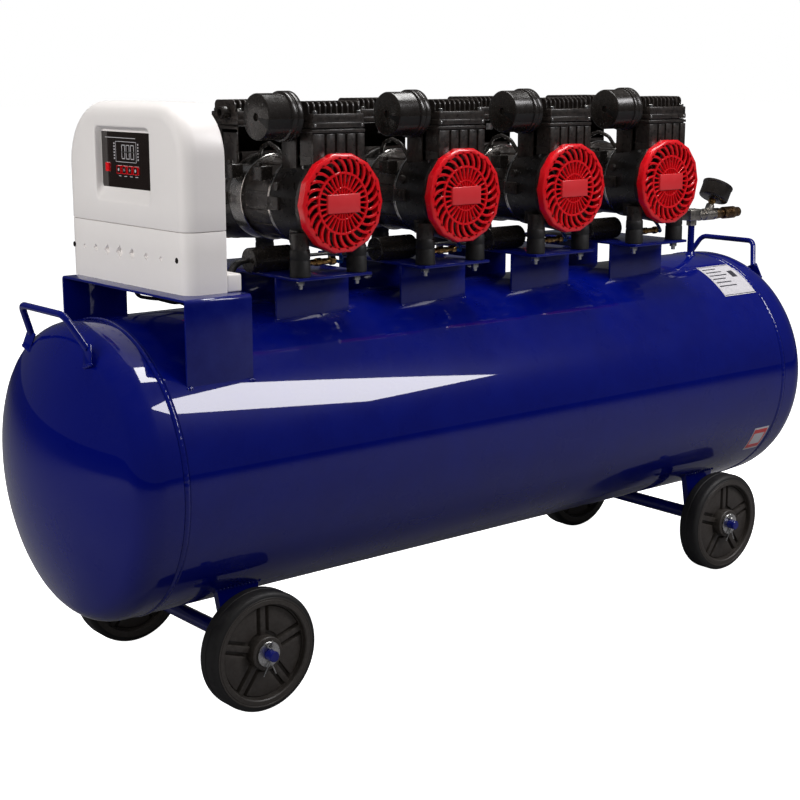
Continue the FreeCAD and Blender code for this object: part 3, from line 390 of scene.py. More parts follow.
# tones are dark, light and rubbed edge; lift is the bump strength, pits the pitting, grain and bump are scales
finishes = {
    "tankPaint": dict(dark=srgb(0, 7, 92), light=srgb(0, 11, 104), edge=srgb(2, 24, 130), rough=(0.24, 0.34),
                      sheen=0.04, grain=9.0, bump=120.0, lift=0.05, wear=0.15, coat=1.0, coatRough=0.02),
    "sheetPaint": dict(dark=srgb(0, 8, 90), light=srgb(0, 12, 106), edge=srgb(30, 42, 128), rough=(0.3, 0.42),
                       sheen=0.1, grain=16.0, bump=260.0, lift=0.10, pits=0.1, dust=0.04, wear=0.25, coat=0.8,
                       coatRough=0.06),
    "blackCasting": dict(dark=srgb(20, 17, 16), light=srgb(31, 27, 25), edge=srgb(84, 76, 70),
                         rough=(0.24, 0.38), grain=110.0, bump=1400.0, lift=0.16, pits=0.4, dust=0.05,
                         wear=0.3, coat=0.15),
    "darkPlastic": dict(dark=srgb(24, 21, 19), light=srgb(34, 30, 27), edge=srgb(70, 66, 62),
                        rough=(0.2, 0.32), grain=80.0, lift=0.12, pits=0.2, dust=0.04, wear=0.15, coat=0.1,
                        coatRough=0.2),
    "glossPanel": dict(dark=srgb(24, 18, 16), light=srgb(36, 28, 25), edge=srgb(60, 52, 48), rough=(0.12, 0.2),
                       grain=60.0, bump=500.0, lift=0.02, dust=0.05, coat=0.6, coatRough=0.05),
    "redPlastic": dict(dark=srgb(218, 6, 20), light=srgb(232, 10, 26), edge=srgb(238, 60, 66),
                       rough=(0.2, 0.3), grain=70.0, bump=600.0, lift=0.06, pits=0.1, wear=0.12, coat=0.5,
                       coatRough=0.12),
    "paleRed": dict(dark=srgb(214, 40, 46), light=srgb(226, 52, 58), edge=srgb(232, 80, 84), rough=(0.3, 0.42),
                    grain=70.0, bump=600.0, lift=0.06, pits=0.1, coat=0.3, coatRough=0.2),
    "boxPlastic": dict(dark=srgb(236, 231, 228), light=srgb(241, 237, 234), edge=srgb(240, 238, 236),
                       rough=(0.34, 0.46), grain=40.0, bump=1100.0, lift=0.06, pits=0.3, dust=0.03, coat=0.1,
                       coatRough=0.2),
    "wheelMoulding": dict(dark=srgb(40, 36, 32), light=srgb(52, 47, 43), edge=srgb(84, 80, 76),
                          rough=(0.42, 0.58), grain=120.0, bump=800.0, lift=0.18, pits=0.4, dust=0.12,
                          wear=0.25),
    "softRubber": dict(dark=srgb(12, 12, 12), light=srgb(24, 23, 22), edge=srgb(52, 50, 48), rough=(0.5, 0.65),
                       grain=90.0, lift=0.2, pits=0.3, dust=0.08, wear=0.2),
    "leadSheath": dict(dark=srgb(12, 11, 11), light=srgb(22, 20, 20), edge=srgb(60, 58, 56), rough=(0.3, 0.42),
                       grain=90.0, bump=500.0, lift=0.06, dust=0.04, wear=0.15, coat=0.2, coatRough=0.2),
    "hoseBraid": dict(dark=srgb(92, 84, 78), light=srgb(146, 138, 130), edge=srgb(180, 172, 164),
                      rough=(0.3, 0.44), metal=0.6, grain=420.0, bump=900.0, lift=0.5, pits=0.8, wear=0.3),
    "boardGreen": dict(dark=srgb(8, 60, 30), light=srgb(16, 84, 44), edge=srgb(60, 120, 80), rough=(0.3, 0.5),
                       grain=200.0, bump=900.0, lift=0.1, pits=0.2, dust=0.05, wear=0.2, coat=0.2,
                       coatRough=0.2),
    "zincSteel": dict(dark=srgb(150, 150, 150), light=srgb(198, 198, 194), edge=srgb(225, 225, 222),
                      rough=(0.22, 0.4), metal=1.0, grain=150.0, bump=900.0, lift=0.08, pits=0.1, dust=0.05,
                      wear=0.6),
    "nickelCasting": dict(dark=srgb(140, 134, 126), light=srgb(186, 180, 170), edge=srgb(220, 216, 208),
                          rough=(0.24, 0.42), metal=1.0, grain=110.0, lift=0.14, pits=0.3, dust=0.06, wear=0.6),
    "turnedBrass": dict(dark=srgb(132, 92, 46), light=srgb(190, 146, 82), edge=srgb(226, 190, 130),
                        rough=(0.2, 0.36), metal=1.0, grain=120.0, lift=0.06, dust=0.04, wear=0.6),
    "agedBronze": dict(dark=srgb(88, 66, 44), light=srgb(136, 108, 76), edge=srgb(184, 156, 118),
                       rough=(0.26, 0.44), metal=1.0, grain=130.0, lift=0.1, pits=0.2, dust=0.05, wear=0.5),
    "bareAluminium": dict(dark=srgb(120, 118, 116), light=srgb(176, 174, 172), edge=srgb(214, 212, 210),
                          rough=(0.28, 0.46), metal=1.0, grain=140.0, bump=900.0, lift=0.15, pits=0.3,
                          dust=0.06, wear=0.5),
    "rimSteel": dict(dark=srgb(150, 144, 138), light=srgb(206, 202, 196), edge=srgb(235, 232, 228),
                     rough=(0.16, 0.28), metal=1.0, grain=150.0, bump=900.0, lift=0.05, dust=0.03, wear=0.6),
    "labelWhite": dict(dark=srgb(184, 182, 186), light=srgb(200, 198, 202), edge=srgb(240, 240, 240),
                       rough=(0.3, 0.4), grain=60.0, bump=500.0, lift=0.03, dust=0.03, coat=0.3, coatRough=0.1),
    "labelInk": dict(dark=srgb(40, 40, 48), light=srgb(58, 58, 66), edge=srgb(70, 70, 76), rough=(0.35, 0.45),
                     grain=60.0, bump=500.0, lift=0.02, wear=0.15, coat=0.3, coatRough=0.1),
    "signalRed": dict(dark=srgb(186, 8, 16), light=srgb(214, 20, 28), edge=srgb(235, 90, 90),
                      rough=(0.28, 0.38), grain=60.0, bump=500.0, lift=0.03, dust=0.03, coat=0.3,
                      coatRough=0.1),
    "blueTube": dict(dark=srgb(10, 60, 150), light=srgb(24, 92, 190), edge=srgb(90, 150, 220),
                     rough=(0.22, 0.34), grain=60.0, bump=400.0, lift=0.04, dust=0.04, coat=0.4, coatRough=0.1),
}


def makeFinish(name, look):
    material = bpy.data.materials.new(name)
    material.use_nodes = True
    tree = material.node_tree
    shader = tree.nodes["Principled BSDF"]
    grain = effect(tree, surfaceGrain, Scale=look["grain"], Cloud_Scale=look["grain"] / 9)
    rub = effect(tree, edgeRub, Reach=0.05, Breakup=look["grain"] * 1.5)
    dust = effect(tree, dustFilm, Amount=look["dust"], Scale=30.0)
    skin = effect(tree, skinBump, Scale=look["bump"], Strength=look["lift"], Depth=0.0002, Pitting=look["pits"])
    mottle = rangeNode(tree, mathNode(tree, "ADD", grain["Fine"], grain["Cloud"]), 0.2, 1.8)
    body = tone(tree, mottle, look["dark"], look["light"])
    worn = tone(tree, mathNode(tree, "MULTIPLY", rub["Mask"], look["wear"]), body, look["edge"])
    link(tree, tone(tree, dust["Mask"], worn, srgb(150, 146, 140)), shader.inputs["Base Color"])
    low, high = look["rough"]
    gloss = rangeNode(tree, grain["Fine"], 0.3, 0.7, low, high)
    dulled = mathNode(tree, "MULTIPLY", dust["Mask"], 0.35)
    link(tree, mathNode(tree, "ADD", gloss, dulled, True), shader.inputs["Roughness"])
    link(tree, skin["Normal"], shader.inputs["Normal"])
    shader.inputs["Metallic"].default_value = look["metal"]
    shader.inputs["Specular IOR Level"].default_value = look["sheen"]
    shader.inputs["Coat Weight"].default_value = look["coat"]
    shader.inputs["Coat Roughness"].default_value = look["coatRough"]
    return material


paint = {name: makeFinish(name, plainFinish | look) for name, look in finishes.items()}
print("finishes made:", len(paint))

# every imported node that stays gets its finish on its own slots
nodeFinish = {
    "tank_paint": "tankPaint", "black_casting": "blackCasting", "black_plastic": "darkPlastic",
    "gloss_black": "glossPanel", "red_plastic": "redPlastic", "box_plastic": "boxPlastic",
    "wheel_moulding": "wheelMoulding", "zinc_steel": "zincSteel", "nickel_block": "nickelCasting",
    "brass": "turnedBrass",
    "rubber": "softRubber", "cable_sheath": "leadSheath",
    "hose_braid": "hoseBraid", "circuit_board": "boardGreen", "bare_aluminium": "bareAluminium",
}
slotOf = {entry["node"]: entry["material_slot"] for entry in frame["record"]["subparts"]}
ownFinish = {"outlet_coupler": "agedBronze", "coupler_sleeve": "agedBronze", "run_capacitors": "darkPlastic"}
for name, node in frame["nodes"].items():
    finish = paint[ownFinish.get(name) or nodeFinish.get(slotOf.get(name), "blackCasting")]
    if not node.data.materials:
        node.data.materials.append(finish)
    for index in range(len(node.data.materials)):
        node.data.materials[index] = finish
print("packed nodes painted")

# receiver: barrel, two dished ends and the seam beads
tankLow, tankHigh = nodeBox("tank_shell")
receiver = {
    "radius": (tankHigh.z - tankLow.z) / 2,
    "axisZ": (tankHigh.z + tankLow.z) / 2,
    "seamX": tankHigh.x,
    "wall": 4.0,
    "skirt": 32.0,
    "knuckle": 55.0,
    "crown": 485.0,
    "sides": 160,
    "beadWidth": 9.0,
    "beadHeight": 1.6,
    "beadRipples": 150,
}


def makeBarrel():
    r, x, wall = receiver["radius"], receiver["seamX"] - receiver["beadWidth"] / 2, receiver["wall"]
    bm = bmesh.new()
    outline = [(-x, r - wall), (-x, r - 1.2), (-x + 1.5, r), (x - 1.5, r), (x, r - 1.2), (x, r - wall)]
    addTurned(bm, outline, (0, 0, receiver["axisZ"]), (1, 0, 0), receiver["sides"])
    return finishPiece(bm, "tankBarrel", paint["tankPaint"], slot="tank_paint", replaces=["tank_shell"], recalc=False)


def makeTankEnd(side, name, node):
    # outline from the seam: straight skirt, knuckle arc, crown arc to the pole, then the inner wall back
    r, wall = receiver["radius"], receiver["wall"]
    start = receiver["seamX"] + receiver["beadWidth"] / 2
    tangent = receiver["seamX"] + receiver["skirt"]
    knuckle, crown = receiver["knuckle"], receiver["crown"]
    crownX = tangent - math.sqrt((crown - knuckle) ** 2 - (r - knuckle) ** 2)
    tilt = math.degrees(math.asin((r - knuckle) / (crown - knuckle)))
    bm = bmesh.new()

    def halfOutline(inset):
        edgeRound = 1.2 if inset == 0 else 0.0
        first = [bm.verts.new((start, 0, r - inset - edgeRound))]
        if inset == 0:
            first.append(bm.verts.new((start + 1.5, 0, r)))
        first.append(bm.verts.new((tangent, 0, r - inset)))
        bend = arcOn(bm, first[-1], (tangent, 0, r - knuckle), (0, 1, 0), 90 - tilt, 8)
        dome = arcOn(bm, bend[-1], (crownX, 0, 0), (0, 1, 0), tilt, 16)
        dome[-1].co = (dome[-1].co.x, 0, 0)
        return first, first + bend + dome

    outerFirst, outer = halfOutline(0)
    innerFirst, inner = halfOutline(wall)
    for run in (outerFirst, innerFirst):
        for a, b in zip(run, run[1:]):
            bm.edges.new((a, b))
    bm.edges.new((outer[0], inner[0]))
    bm.edges.ensure_lookup_table()
    geom = list(bm.verts) + list(bm.edges)
    bmesh.ops.spin(bm, geom=geom, cent=(0, 0, 0), axis=(1, 0, 0), dvec=(0, 0, 0), angle=2 * math.pi,
                   steps=receiver["sides"], use_merge=True, use_duplicate=False)
    bmesh.ops.remove_doubles(bm, verts=bm.verts, dist=0.001)
    if side < 0:
        bmesh.ops.scale(bm, vec=(-1, 1, 1), verts=bm.verts)
    bmesh.ops.translate(bm, vec=(0, 0, receiver["axisZ"]), verts=bm.verts)
    return finishPiece(bm, name, paint["tankPaint"], slot="tank_paint", replaces=[node])


def makeSeamBead(side, name):
    # the round weld between barrel and end, with the ripples of the torch
    r, w, h = receiver["radius"], receiver["beadWidth"], receiver["beadHeight"]
    bm = bmesh.new()
    outline = [(-w / 2, r - 2.4), (-w / 2, r - 0.6), (-w / 4, r + h * 0.7), (0, r + h),
               (w / 4, r + h * 0.7), (w / 2, r - 0.6), (w / 2, r - 2.4)]
    addTurned(bm, outline, (side * receiver["seamX"], 0, receiver["axisZ"]), (1, 0, 0), 600)
    centre = Vector((side * receiver["seamX"], 0, receiver["axisZ"]))
    for vert in bm.verts:
        flat = Vector((0, vert.co.y, vert.co.z - centre.z))
        if flat.length > r:
            angle = math.atan2(flat.z, flat.y)
            ripple = 0.25 * math.sin(angle * receiver["beadRipples"] + abs(vert.co.x - centre.x) * 0.4)
            ripple += 0.5 * noise.noise(Vector((flat.y, flat.z, 0)) * 0.03)
            vert.co += flat.normalized() * ripple
            vert.co.x += 0.9 * noise.noise(Vector((flat.z, flat.y, 7)) * 0.02)
    return finishPiece(bm, name, paint["tankPaint"], slot="tank_paint")


makeBarrel()
for side, hand in ((-1, "Left"), (1, "Right")):
    makeTankEnd(side, "tankEnd" + hand, "tank_head_" + hand.lower())
for side, hand in ((-1, "Left"), (1, "Right")):
    makeSeamBead(side, "seamBead" + hand)
print("receiver done")

# pumps: every piece is made once about its own motor shaft and copied to the four places
pumpPlaces = [middle("motor_" + n) for n in pumpNames]
shaftZ = pumpPlaces[0].z
headLow, headHigh = nodeBox("cylinder_heads")
saddleTop = nodeBox("pump_feet")[0].z - shaftZ
pump = {
    "caseBack": 60.0, "caseFront": nodeBox("crankcases_1")[1].y, "backRadius": 73.5, "frontRadius": 80.5,
    "cupRadius": 75.0, "cupDepth": 32.0,
    "blockX": (-48.5, 56.5), "blockY": (66.0, 149.0), "blockTop": headLow.z - shaftZ,
    "slab": 23.0, "finTop": headHigh.z - shaftZ, "finY": (74.0, 136.0), "fins": 10, "finWidth": 3.4,
    "feetX": (-66.3, 49.7), "feetY": 134.0, "footHeight": 46.0,
    "motorRadius": 68.0, "rimRadius": 73.5,
    "filterY": 102.0, "filterZ": 138.9, "filterRadius": 37.0, "filterRim": 40.5, "filterX": (-126.0, -82.0, -60.0),
    "grillRadius": 82.0, "grillSides": 14, "grillFront": 165.0, "grillMouth": 73.4,
    # each row of bars: count, inner and outer radius, lean in degrees, width, steps
    "bars": ((26, 50.4, 74.4, 14.0, 4.9, 5), (30, 26.6, 48.0, 0.0, 3.0, 2), (24, 14.8, 25.2, 0.0, 2.0, 1)),
    # each ring of the guard: inner and outer radius, edge, sides
    "rings": ((47.3, 51.2, 0.5, 78), (24.6, 27.2, 0.4, 60)), "badge": (33.0, 15.5), "badgeProud": 2.4,
    "sleeveHalf": 60.0, "ribs": 16, "ribSize": (23.5, 74.0, 3.4), "ribMiddle": -20.0,
    "statorHalf": 38.0, "statorBore": 36.0, "rims": ((-1, 53.0), (1, 24.0)),
}


def alongY(side, x=0.0, z=0.0):
    # frame whose own Z runs out along the shaft on one side
    return Matrix.Translation((x, 0, z)) @ Matrix.Rotation(math.radians(-90 * side), 4, "X")


def toPumps(bm, name, materials, slot, nodes, body="tank"):
    mesh = meshOf(bm, name, materials)
    for number, place in zip(pumpNames, pumpPlaces):
        node = [n.replace("#", number) for n in nodes]
        copyAt(mesh, (place.x, 0, shaftZ), name + number, body=body.replace("#", number), slot=slot, replaces=node)
    bpy.data.meshes.remove(mesh)


def ribWall(bm, side):
    # block face: five flat lands with four grooves between them
    x0, x1 = pump["blockX"]
    pitch = (x1 - x0) / 5
    back, front = side * (pump["blockY"][1] - 6), side * pump["blockY"][1]
    edges = [x0] + [x0 + pitch * (i + 1) + 4 for i in range(4)] + [x1]
    for i in range(5):
        low = edges[i] + (2.0 if i else 0.0)
        high = edges[i + 1] - (2.0 if i < 4 else 0.0)
        addBlock(bm, (low, back, 60), (high, front, pump["blockTop"] - 9), 1.2, 2)


def makeCasings():
    bm = bmesh.new()
    p = pump
    x0, x1 = p["blockX"]
    for side in (-1, 1):
        flare = [(p["caseBack"], 12), (p["caseBack"], p["backRadius"] - 2), (p["caseBack"] + 2, p["backRadius"]),
                 (p["caseFront"] - 9, p["frontRadius"] - 0.8), (p["caseFront"] - 8, p["frontRadius"]),
                 (p["caseFront"], p["frontRadius"]), (p["caseFront"], p["cupRadius"]),
                 (p["caseFront"] - p["cupDepth"], p["cupRadius"]), (p["caseFront"] - p["cupDepth"], 12)]
        addTurned(bm, flare, (0, 0, 0), (0, side, 0), 72, 0.8)
        y0, y1 = side * p["blockY"][0], side * (p["blockY"][1] - 4)
        # block split round the fan cup: everything stays above the flare's crown
        addBlock(bm, (x0, y0, 52), (x1, side * (p["caseFront"] - p["cupDepth"] - 2), p["blockTop"]), 2.0, 3)
        addBlock(bm, (x0, y0, 74), (x1, y1, p["blockTop"]), 2.0, 3)
        ribWall(bm, side)
        lip = side * p["blockY"][1]
        addBlock(bm, (x0 - 1.2, y0, p["blockTop"] - 7), (x1 + 1.2, lip, p["blockTop"] - 2), 1.0, 2)
        addBlock(bm, (x0 - 3, y0, 40), (x0 + 1, side * (p["blockY"][0] + 40), p["blockTop"] - 12), 1.0, 2)
        # shoulders that carry the block down to the flare
        for x in (x0 + 5, x1 - 5):
            addBlock(bm, (x - 5, y0, 42), (x + 5, side * (p["caseFront"] - 4), 76), 1.5, 2)
        # lugs over the feet, with a web up to the drum
        footTop = saddleTop + p["footHeight"]
        for x in p["feetX"]:
            lugY = side * (p["feetY"] - 0.5)
            addRod(bm, 15.4, (x, lugY, footTop - 5), (x, lugY, footTop + 26), 36, 1.5)
            inner = 8 if x < 0 else -8
            addBlock(bm, (x - 6 + inner, side * (p["feetY"] - 34), footTop + 6),
                     (x + 6 + inner, side * (p["feetY"] + 6), footTop + 30), 2.5, 3)
        # clip slot on the drum's side and a cast boss above it
        addRod(bm, 7.0, (-74.5, side * 78, 26), (-66, side * 78, 26), 20, 1.0)
        addBlock(bm, (-80, side * 62, -12), (-70, side * 92, 10), 2.0, 2)
    toPumps(bm, "pumpCasing", paint["blackCasting"], "black_casting", ["crankcases_#"])


def makeHeads():
    bm = bmesh.new()
    p = pump
    x0, x1 = p["blockX"]
    top = p["blockTop"] + p["slab"]
    pitch = (x1 - x0 - p["finWidth"]) / (p["fins"] - 1)
    for side in (-1, 1):
        y0, y1 = side * p["blockY"][0], side * p["blockY"][1]
        addBlock(bm, (x0, y0, p["blockTop"] + 0.6), (x1, y1, p["blockTop"] + 9.5), 1.2, 2)
        addBlock(bm, (x0 + 0.8, y0, p["blockTop"] + 8.5), (x1 - 0.8, y1 - side * 0.8, top), 1.4, 2)
        for i in range(p["fins"]):
            x = x0 + pitch * i
            lower, upper = sorted((side * p["finY"][0], side * p["finY"][1]))
            heart = (x + p["finWidth"] / 2, (lower + upper) / 2, (top + p["finTop"]) / 2 - 1)
            fin = addCube(bm, Matrix.Translation(heart), (p["finWidth"], upper - lower, p["finTop"] - top + 2))
            crest = [e for e in edgesOf(fin) if all(abs(v.co.z - p["finTop"]) < 0.1 for v in e.verts)
                     and abs(e.verts[0].co.x - e.verts[1].co.x) > 1]
            roundEdges(bm, crest, 9, 5, clamp=False)
        addBlock(bm, (x0 + 1, side * (90 - 6), top - 1), (x1 - 1, side * (90 + 6), p["finTop"] - 5), 0.8, 1)
    soften(bm, 0.5, 1, 60, [e for e in bm.edges if max(v.co.z for v in e.verts) > top + 3])
    toPumps(bm, "cylinderHead", paint["blackCasting"], "black_casting", ["cylinder_heads"])


def makeHeadScrews():
    # bright cap screws on the slab corners and small ones round the flare and the block's lip
    bm = bmesh.new()
    p = pump
    x0, x1 = p["blockX"]
    top = p["blockTop"] + p["slab"]
    for side in (-1, 1):
        for x in (x0 + 8, x1 - 8):
            for y in (p["blockY"][1] - 6, p["blockY"][0] + 5):
                outline = [(0, 0), (0, 4.2), (4.4, 4.2), (5.0, 3.6), (5.0, 2.0), (2.0, 2.0), (2.0, 0)]
                addTurned(bm, outline, (x, side * y, top), (0, 0, 1), 20, closed=False)
    toPumps(bm, "headScrew", paint["zincSteel"], "zinc_steel", ["cap_screws"])
    bm = bmesh.new()
    for side in (-1, 1):
        for x in (x0 + 5, x1 - 5):
            spot = (x, side * (p["blockY"][1] - 0.9), p["blockTop"] + 5)
            addTurned(bm, [(0, 0), (0, 2.4), (0.9, 2.2), (1.3, 1.2), (1.3, 0)], spot, (0, side, 0), 14, closed=False)
        for degrees in (48, 132, 228, 312):
            a = math.radians(degrees)
            ring = p["frontRadius"] - 4
            spot = (ring * math.cos(a) * 1.03, side * (p["caseFront"] - 22), ring * math.sin(a) * 1.03)
            addRod(bm, 3.6, spot, (spot[0], spot[1] + side * 4, spot[2]), 14, 0.6)
    toPumps(bm, "lipScrew", paint["zincSteel"], "zinc_steel", [])


def makeFilters():
    # drum with a ribbed rim and a mouth; its four screw holes are dark rubber discs standing on the face, painted shade
    # in place of real holes, and a dark disc closes the mouth 5 mm in
    bm = bmesh.new()
    p = pump
    face, rim, end = p["filterX"]
    r, big = p["filterRadius"], p["filterRim"]
    across, up = -p["filterY"], p["filterZ"]
    block = -p["blockX"][0]
    outline = [(-face, 6.5), (-face, r - 2.6), (-face - 0.8, r - 0.9), (-face - 2.6, r), (-rim + 0.5, r),
               (-rim, r + 1.2), (-rim - 1, big), (-rim - 9, big), (-rim - 9.6, big - 1), (-rim - 11, big - 1),
               (-rim - 11.6, big), (-end + 2, big), (-end, big - 2), (-end, 11), (block, 11), (block, 8),
               (-face - 14, 8), (-face - 14, 6.5)]
    addTurned(bm, outline, (0, across, up), (-1, 0, 0), 72, 0.35, segments=1)
    # painted shade: dark discs in place of the four screw holes, then the disc that closes the mouth
    start = len(bm.faces)
    for i in range(4):
        a = math.radians(45 + 90 * i)
        y, z = across + 28 * math.cos(a), up + 28 * math.sin(a)
        addRod(bm, 2.2, (face - 0.15, y, z), (face + 1, y, z), 16)
    addRod(bm, 6.6, (face + 5, across, up), (face + 6, across, up), 24)
    paintFaces(bm, 1, start)
    toPumps(bm, "intakeFilter", [paint["darkPlastic"], paint["softRubber"]], "black_plastic", ["intake_filters"])


def makeMotors():
    # sleeve with flat ribs along it, bright pressed rims next to the castings
    bm = bmesh.new()
    p = pump
    r = p["motorRadius"]
    half, core, bore = p["sleeveHalf"], p["statorHalf"], p["statorBore"]
    addTurned(bm, [(-half, r - 3.5), (-half, r), (half, r), (half, r - 3.5)], (0, 0, 0), (0, 1, 0), 96, 0.4)
    for i in range(p["ribs"]):
        turn = Matrix.Rotation(-math.radians(360 / p["ribs"] * i), 4, "Y")
        addCube(bm, turn @ Matrix.Translation((0, p["ribMiddle"], r - 0.6)), p["ribSize"], 1.0, 2)
    addTurned(bm, [(-core, bore), (-core, r - 4), (core, r - 4), (core, bore)], (0, 0, 0), (0, 1, 0), 72, 0.4)
    toPumps(bm, "motorSleeve", paint["blackCasting"], "black_casting", ["motor_#"])
    bm = bmesh.new()
    for side, start in p["rims"]:
        outline = [(start, r + 0.2), (start, p["rimRadius"] - 0.8), (start + 1, p["rimRadius"]), (58.6, p["rimRadius"]),
                   (59.4, p["rimRadius"] - 1), (59.4, r + 0.2)]
        addTurned(bm, outline, (0, 0, 0), (0, side, 0), 96)
    toPumps(bm, "motorRim", paint["rimSteel"], "bare_aluminium", [])


def grillSpoke(bm, side, inner, outer, degrees, lean, width, low, high, steps):
    # one curved bar of the guard, from the inner ring to the outer one
    path = []
    for i in range(steps + 1):
        t = i / steps
        a = math.radians(degrees + lean * t * (0.35 + 0.65 * t))
        r = inner + (outer - inner) * t
        path.append(Vector((r * math.sin(a), 0, r * math.cos(a))))
    rows = []
    for i, point in enumerate(path):
        ahead = (path[min(i + 1, steps)] - path[max(i - 1, 0)]).normalized()
        across = Vector((ahead.z, 0, -ahead.x)) * (width * (0.8 + 0.35 * i / steps) / 2)
        corners = [point - across, point + across]
        section = ((corners[0], low), (corners[0], high - 0.8), (corners[0].lerp(corners[1], 0.18), high),
                   (corners[0].lerp(corners[1], 0.82), high), (corners[1], high - 0.8), (corners[1], low))
        rows.append([bm.verts.new((c.x, side * y, c.z)) for c, y in section])
    for a, b in zip(rows, rows[1:]):
        for j in range(6):
            bm.faces.new((a[j], a[(j + 1) % 6], b[(j + 1) % 6], b[j]))
    bm.faces.new(rows[0])
    bm.faces.new(list(reversed(rows[-1])))


def makeGrills():
    bm = bmesh.new()
    p = pump
    front, base = p["grillFront"], p["caseFront"]
    cup, reach = p["cupRadius"], p["grillRadius"]
    plate = front - 4.5
    turn = math.radians(360 / p["grillSides"] / 2)
    for side in (-1, 1):
        # fourteen-sided skirt with a rounded front edge
        place = alongY(side)
        skirt = ((cup, base), (reach - 0.6, base), (reach, base + 0.6), (reach, front - 3.0),
                 (reach - 0.7, front - 1.2), (reach - 2.4, front), (p["grillMouth"], front),
                 (p["grillMouth"], plate), (cup, plate))
        outer = [bm.verts.new(place @ Vector((r * math.sin(turn), r * math.cos(turn), y))) for r, y in skirt]
        loop = [bm.edges.new((a, b)) for a, b in zip(outer, outer[1:] + outer[:1])]
        bmesh.ops.spin(bm, geom=outer + loop, cent=(0, 0, 0), axis=(0, 1, 0), dvec=(0, 0, 0), angle=2 * math.pi,
                       steps=p["grillSides"], use_merge=True, use_duplicate=False)
        for inner, outside, edge, sides in p["rings"]:
            ring = [(plate, inner), (plate, outside), (front - edge, outside), (front, outside - edge),
                    (front, inner + edge), (front - edge, inner)]
            addTurned(bm, ring, (0, 0, 0), (0, side, 0), sides)
        hub = [(plate, 0), (plate, 15.2), (front - 0.6, 15.2), (front, 14.6), (front, 0)]
        addTurned(bm, hub, (0, 0, 0), (0, side, 0), 48, closed=False)
        for count, inner, outside, lean, width, steps in p["bars"]:
            for i in range(count):
                degrees = (i + 0.5) * 360 / count
                grillSpoke(bm, side, inner, outside, degrees, side * lean, width, plate, front, steps)
        start = len(bm.faces)
        wide, tall = p["badge"]
        addBlock(bm, (-wide, side * plate, -tall), (wide, side * (front + p["badgeProud"]), tall), 1.4, 3)
        paintFaces(bm, 1, start)
    bmesh.ops.remove_doubles(bm, verts=bm.verts, dist=0.001)
    toPumps(bm, "fanGrill", [paint["redPlastic"], paint["paleRed"]], "red_plastic", ["fan_grills_#"])


def makeFeet():
    bm = bmesh.new()
    p = pump
    h = p["footHeight"]
    for side in (-1, 1):
        for x in p["feetX"]:
            outline = [(0, 0), (0, 16.0), (1.0, 17.0), (26, 16.7), (27.4, 16.0), (29, 16.0), (30.4, 16.7),
                       (h - 2, 16.4), (h - 1, 15.6), (h - 1, 0)]
            addTurned(bm, outline, (x, side * p["feetY"], saddleTop), (0, 0, 1), 40, closed=False)
    toPumps(bm, "pumpFoot", paint["softRubber"], "rubber", ["pump_feet"])
    bm = bmesh.new()
    under = saddleTop - 5.0
    for side in (-1, 1):
        for x in p["feetX"]:
            y = side * p["feetY"]
            addRod(bm, 4.0, (x, y, under - 15), (x, y, saddleTop + 0.5), 20, 0.6)
            addRod(bm, 8.5, (x, y, under - 1.6), (x, y, under), 28, 0.3)
            addRod(bm, 7.5, (x, y, under - 8.5), (x, y, under - 1.6), 6, 0.5)
    toPumps(bm, "footStud", paint["zincSteel"], "zinc_steel", ["foot_bolts"])


def makeSmallParts():
    # connector boxes, head sockets, fittings and tubes that hang about each pump
    p = pump
    top = p["blockTop"] + p["slab"]
    bm = bmesh.new()
    for side in (-1, 1):
        addBlock(bm, (-86, side * 30, 34), (-62, side * 56, 58), 2.5, 3)
        addRod(bm, 5.0, (-80, side * 43, 58), (-80, side * 43, 64), 20, 1.0)
    socket = [(-1, 0), (-1, 11), (15, 11), (16.5, 10), (16.5, 6.5), (6, 6.5), (6, 0)]
    addTurned(bm, socket, (p["blockX"][0], 96, top - 2), (-1, 0, 0), 36, closed=False)
    addTube(bm, [(-30, -48, 60), (-34, -30, 84), (-30, 0, 92), (-24, 30, 84), (-20, 48, 62)], 3.6, 12, 18)
    addTube(bm, [(62, -108, 60), (74, -120, 30), (84, -112, -6), (76, -96, -40), (60, -84, -62)], 3.0, 12, 18)
    toPumps(bm, "pumpElbow", paint["darkPlastic"], "black_plastic", [])
    bm = bmesh.new()
    for side in (-1, 1):
        x, y, height = p["blockX"][1], side * 104, top - 14
        addRod(bm, 8.0, (x - 1, y, height), (x + 11, y, height), 6, 0.8)
        addRod(bm, 6.5, (x + 10, y, height), (x + 20, y, height), 24, 0.8)
    toPumps(bm, "headConnector", paint["nickelCasting"], "nickel_block", [])
    bm = bmesh.new()
    z = saddleTop + 20
    # radius, from and to along x, sides, edge, radius at the far end
    for radius, x0, x1, sides, edge, far in ((7.0, -26, -14, 6, 0.8, None), (5.4, -14, 4, 24, 0.6, None),
                                             (7.5, 4, 14, 6, 0.8, None), (4.6, -40, -26, 24, 0.5, 5.4)):
        addRod(bm, radius, (x0, -120, z), (x1, -120, z), sides, edge, endRadius=far)
    toPumps(bm, "underFitting", paint["turnedBrass"], "brass", [])
    bm = bmesh.new()
    addTube(bm, [(14, -119, z), (36, -114, z - 6), (44, -98, z + 6), (26, -84, z + 32)], 3.0, 12, 16)
    toPumps(bm, "airTube", paint["blueTube"], "cable_sheath", [])


makeCasings()
makeHeads()
makeHeadScrews()
makeFilters()
makeMotors()
makeGrills()
makeFeet()
makeSmallParts()
print("pumps done")

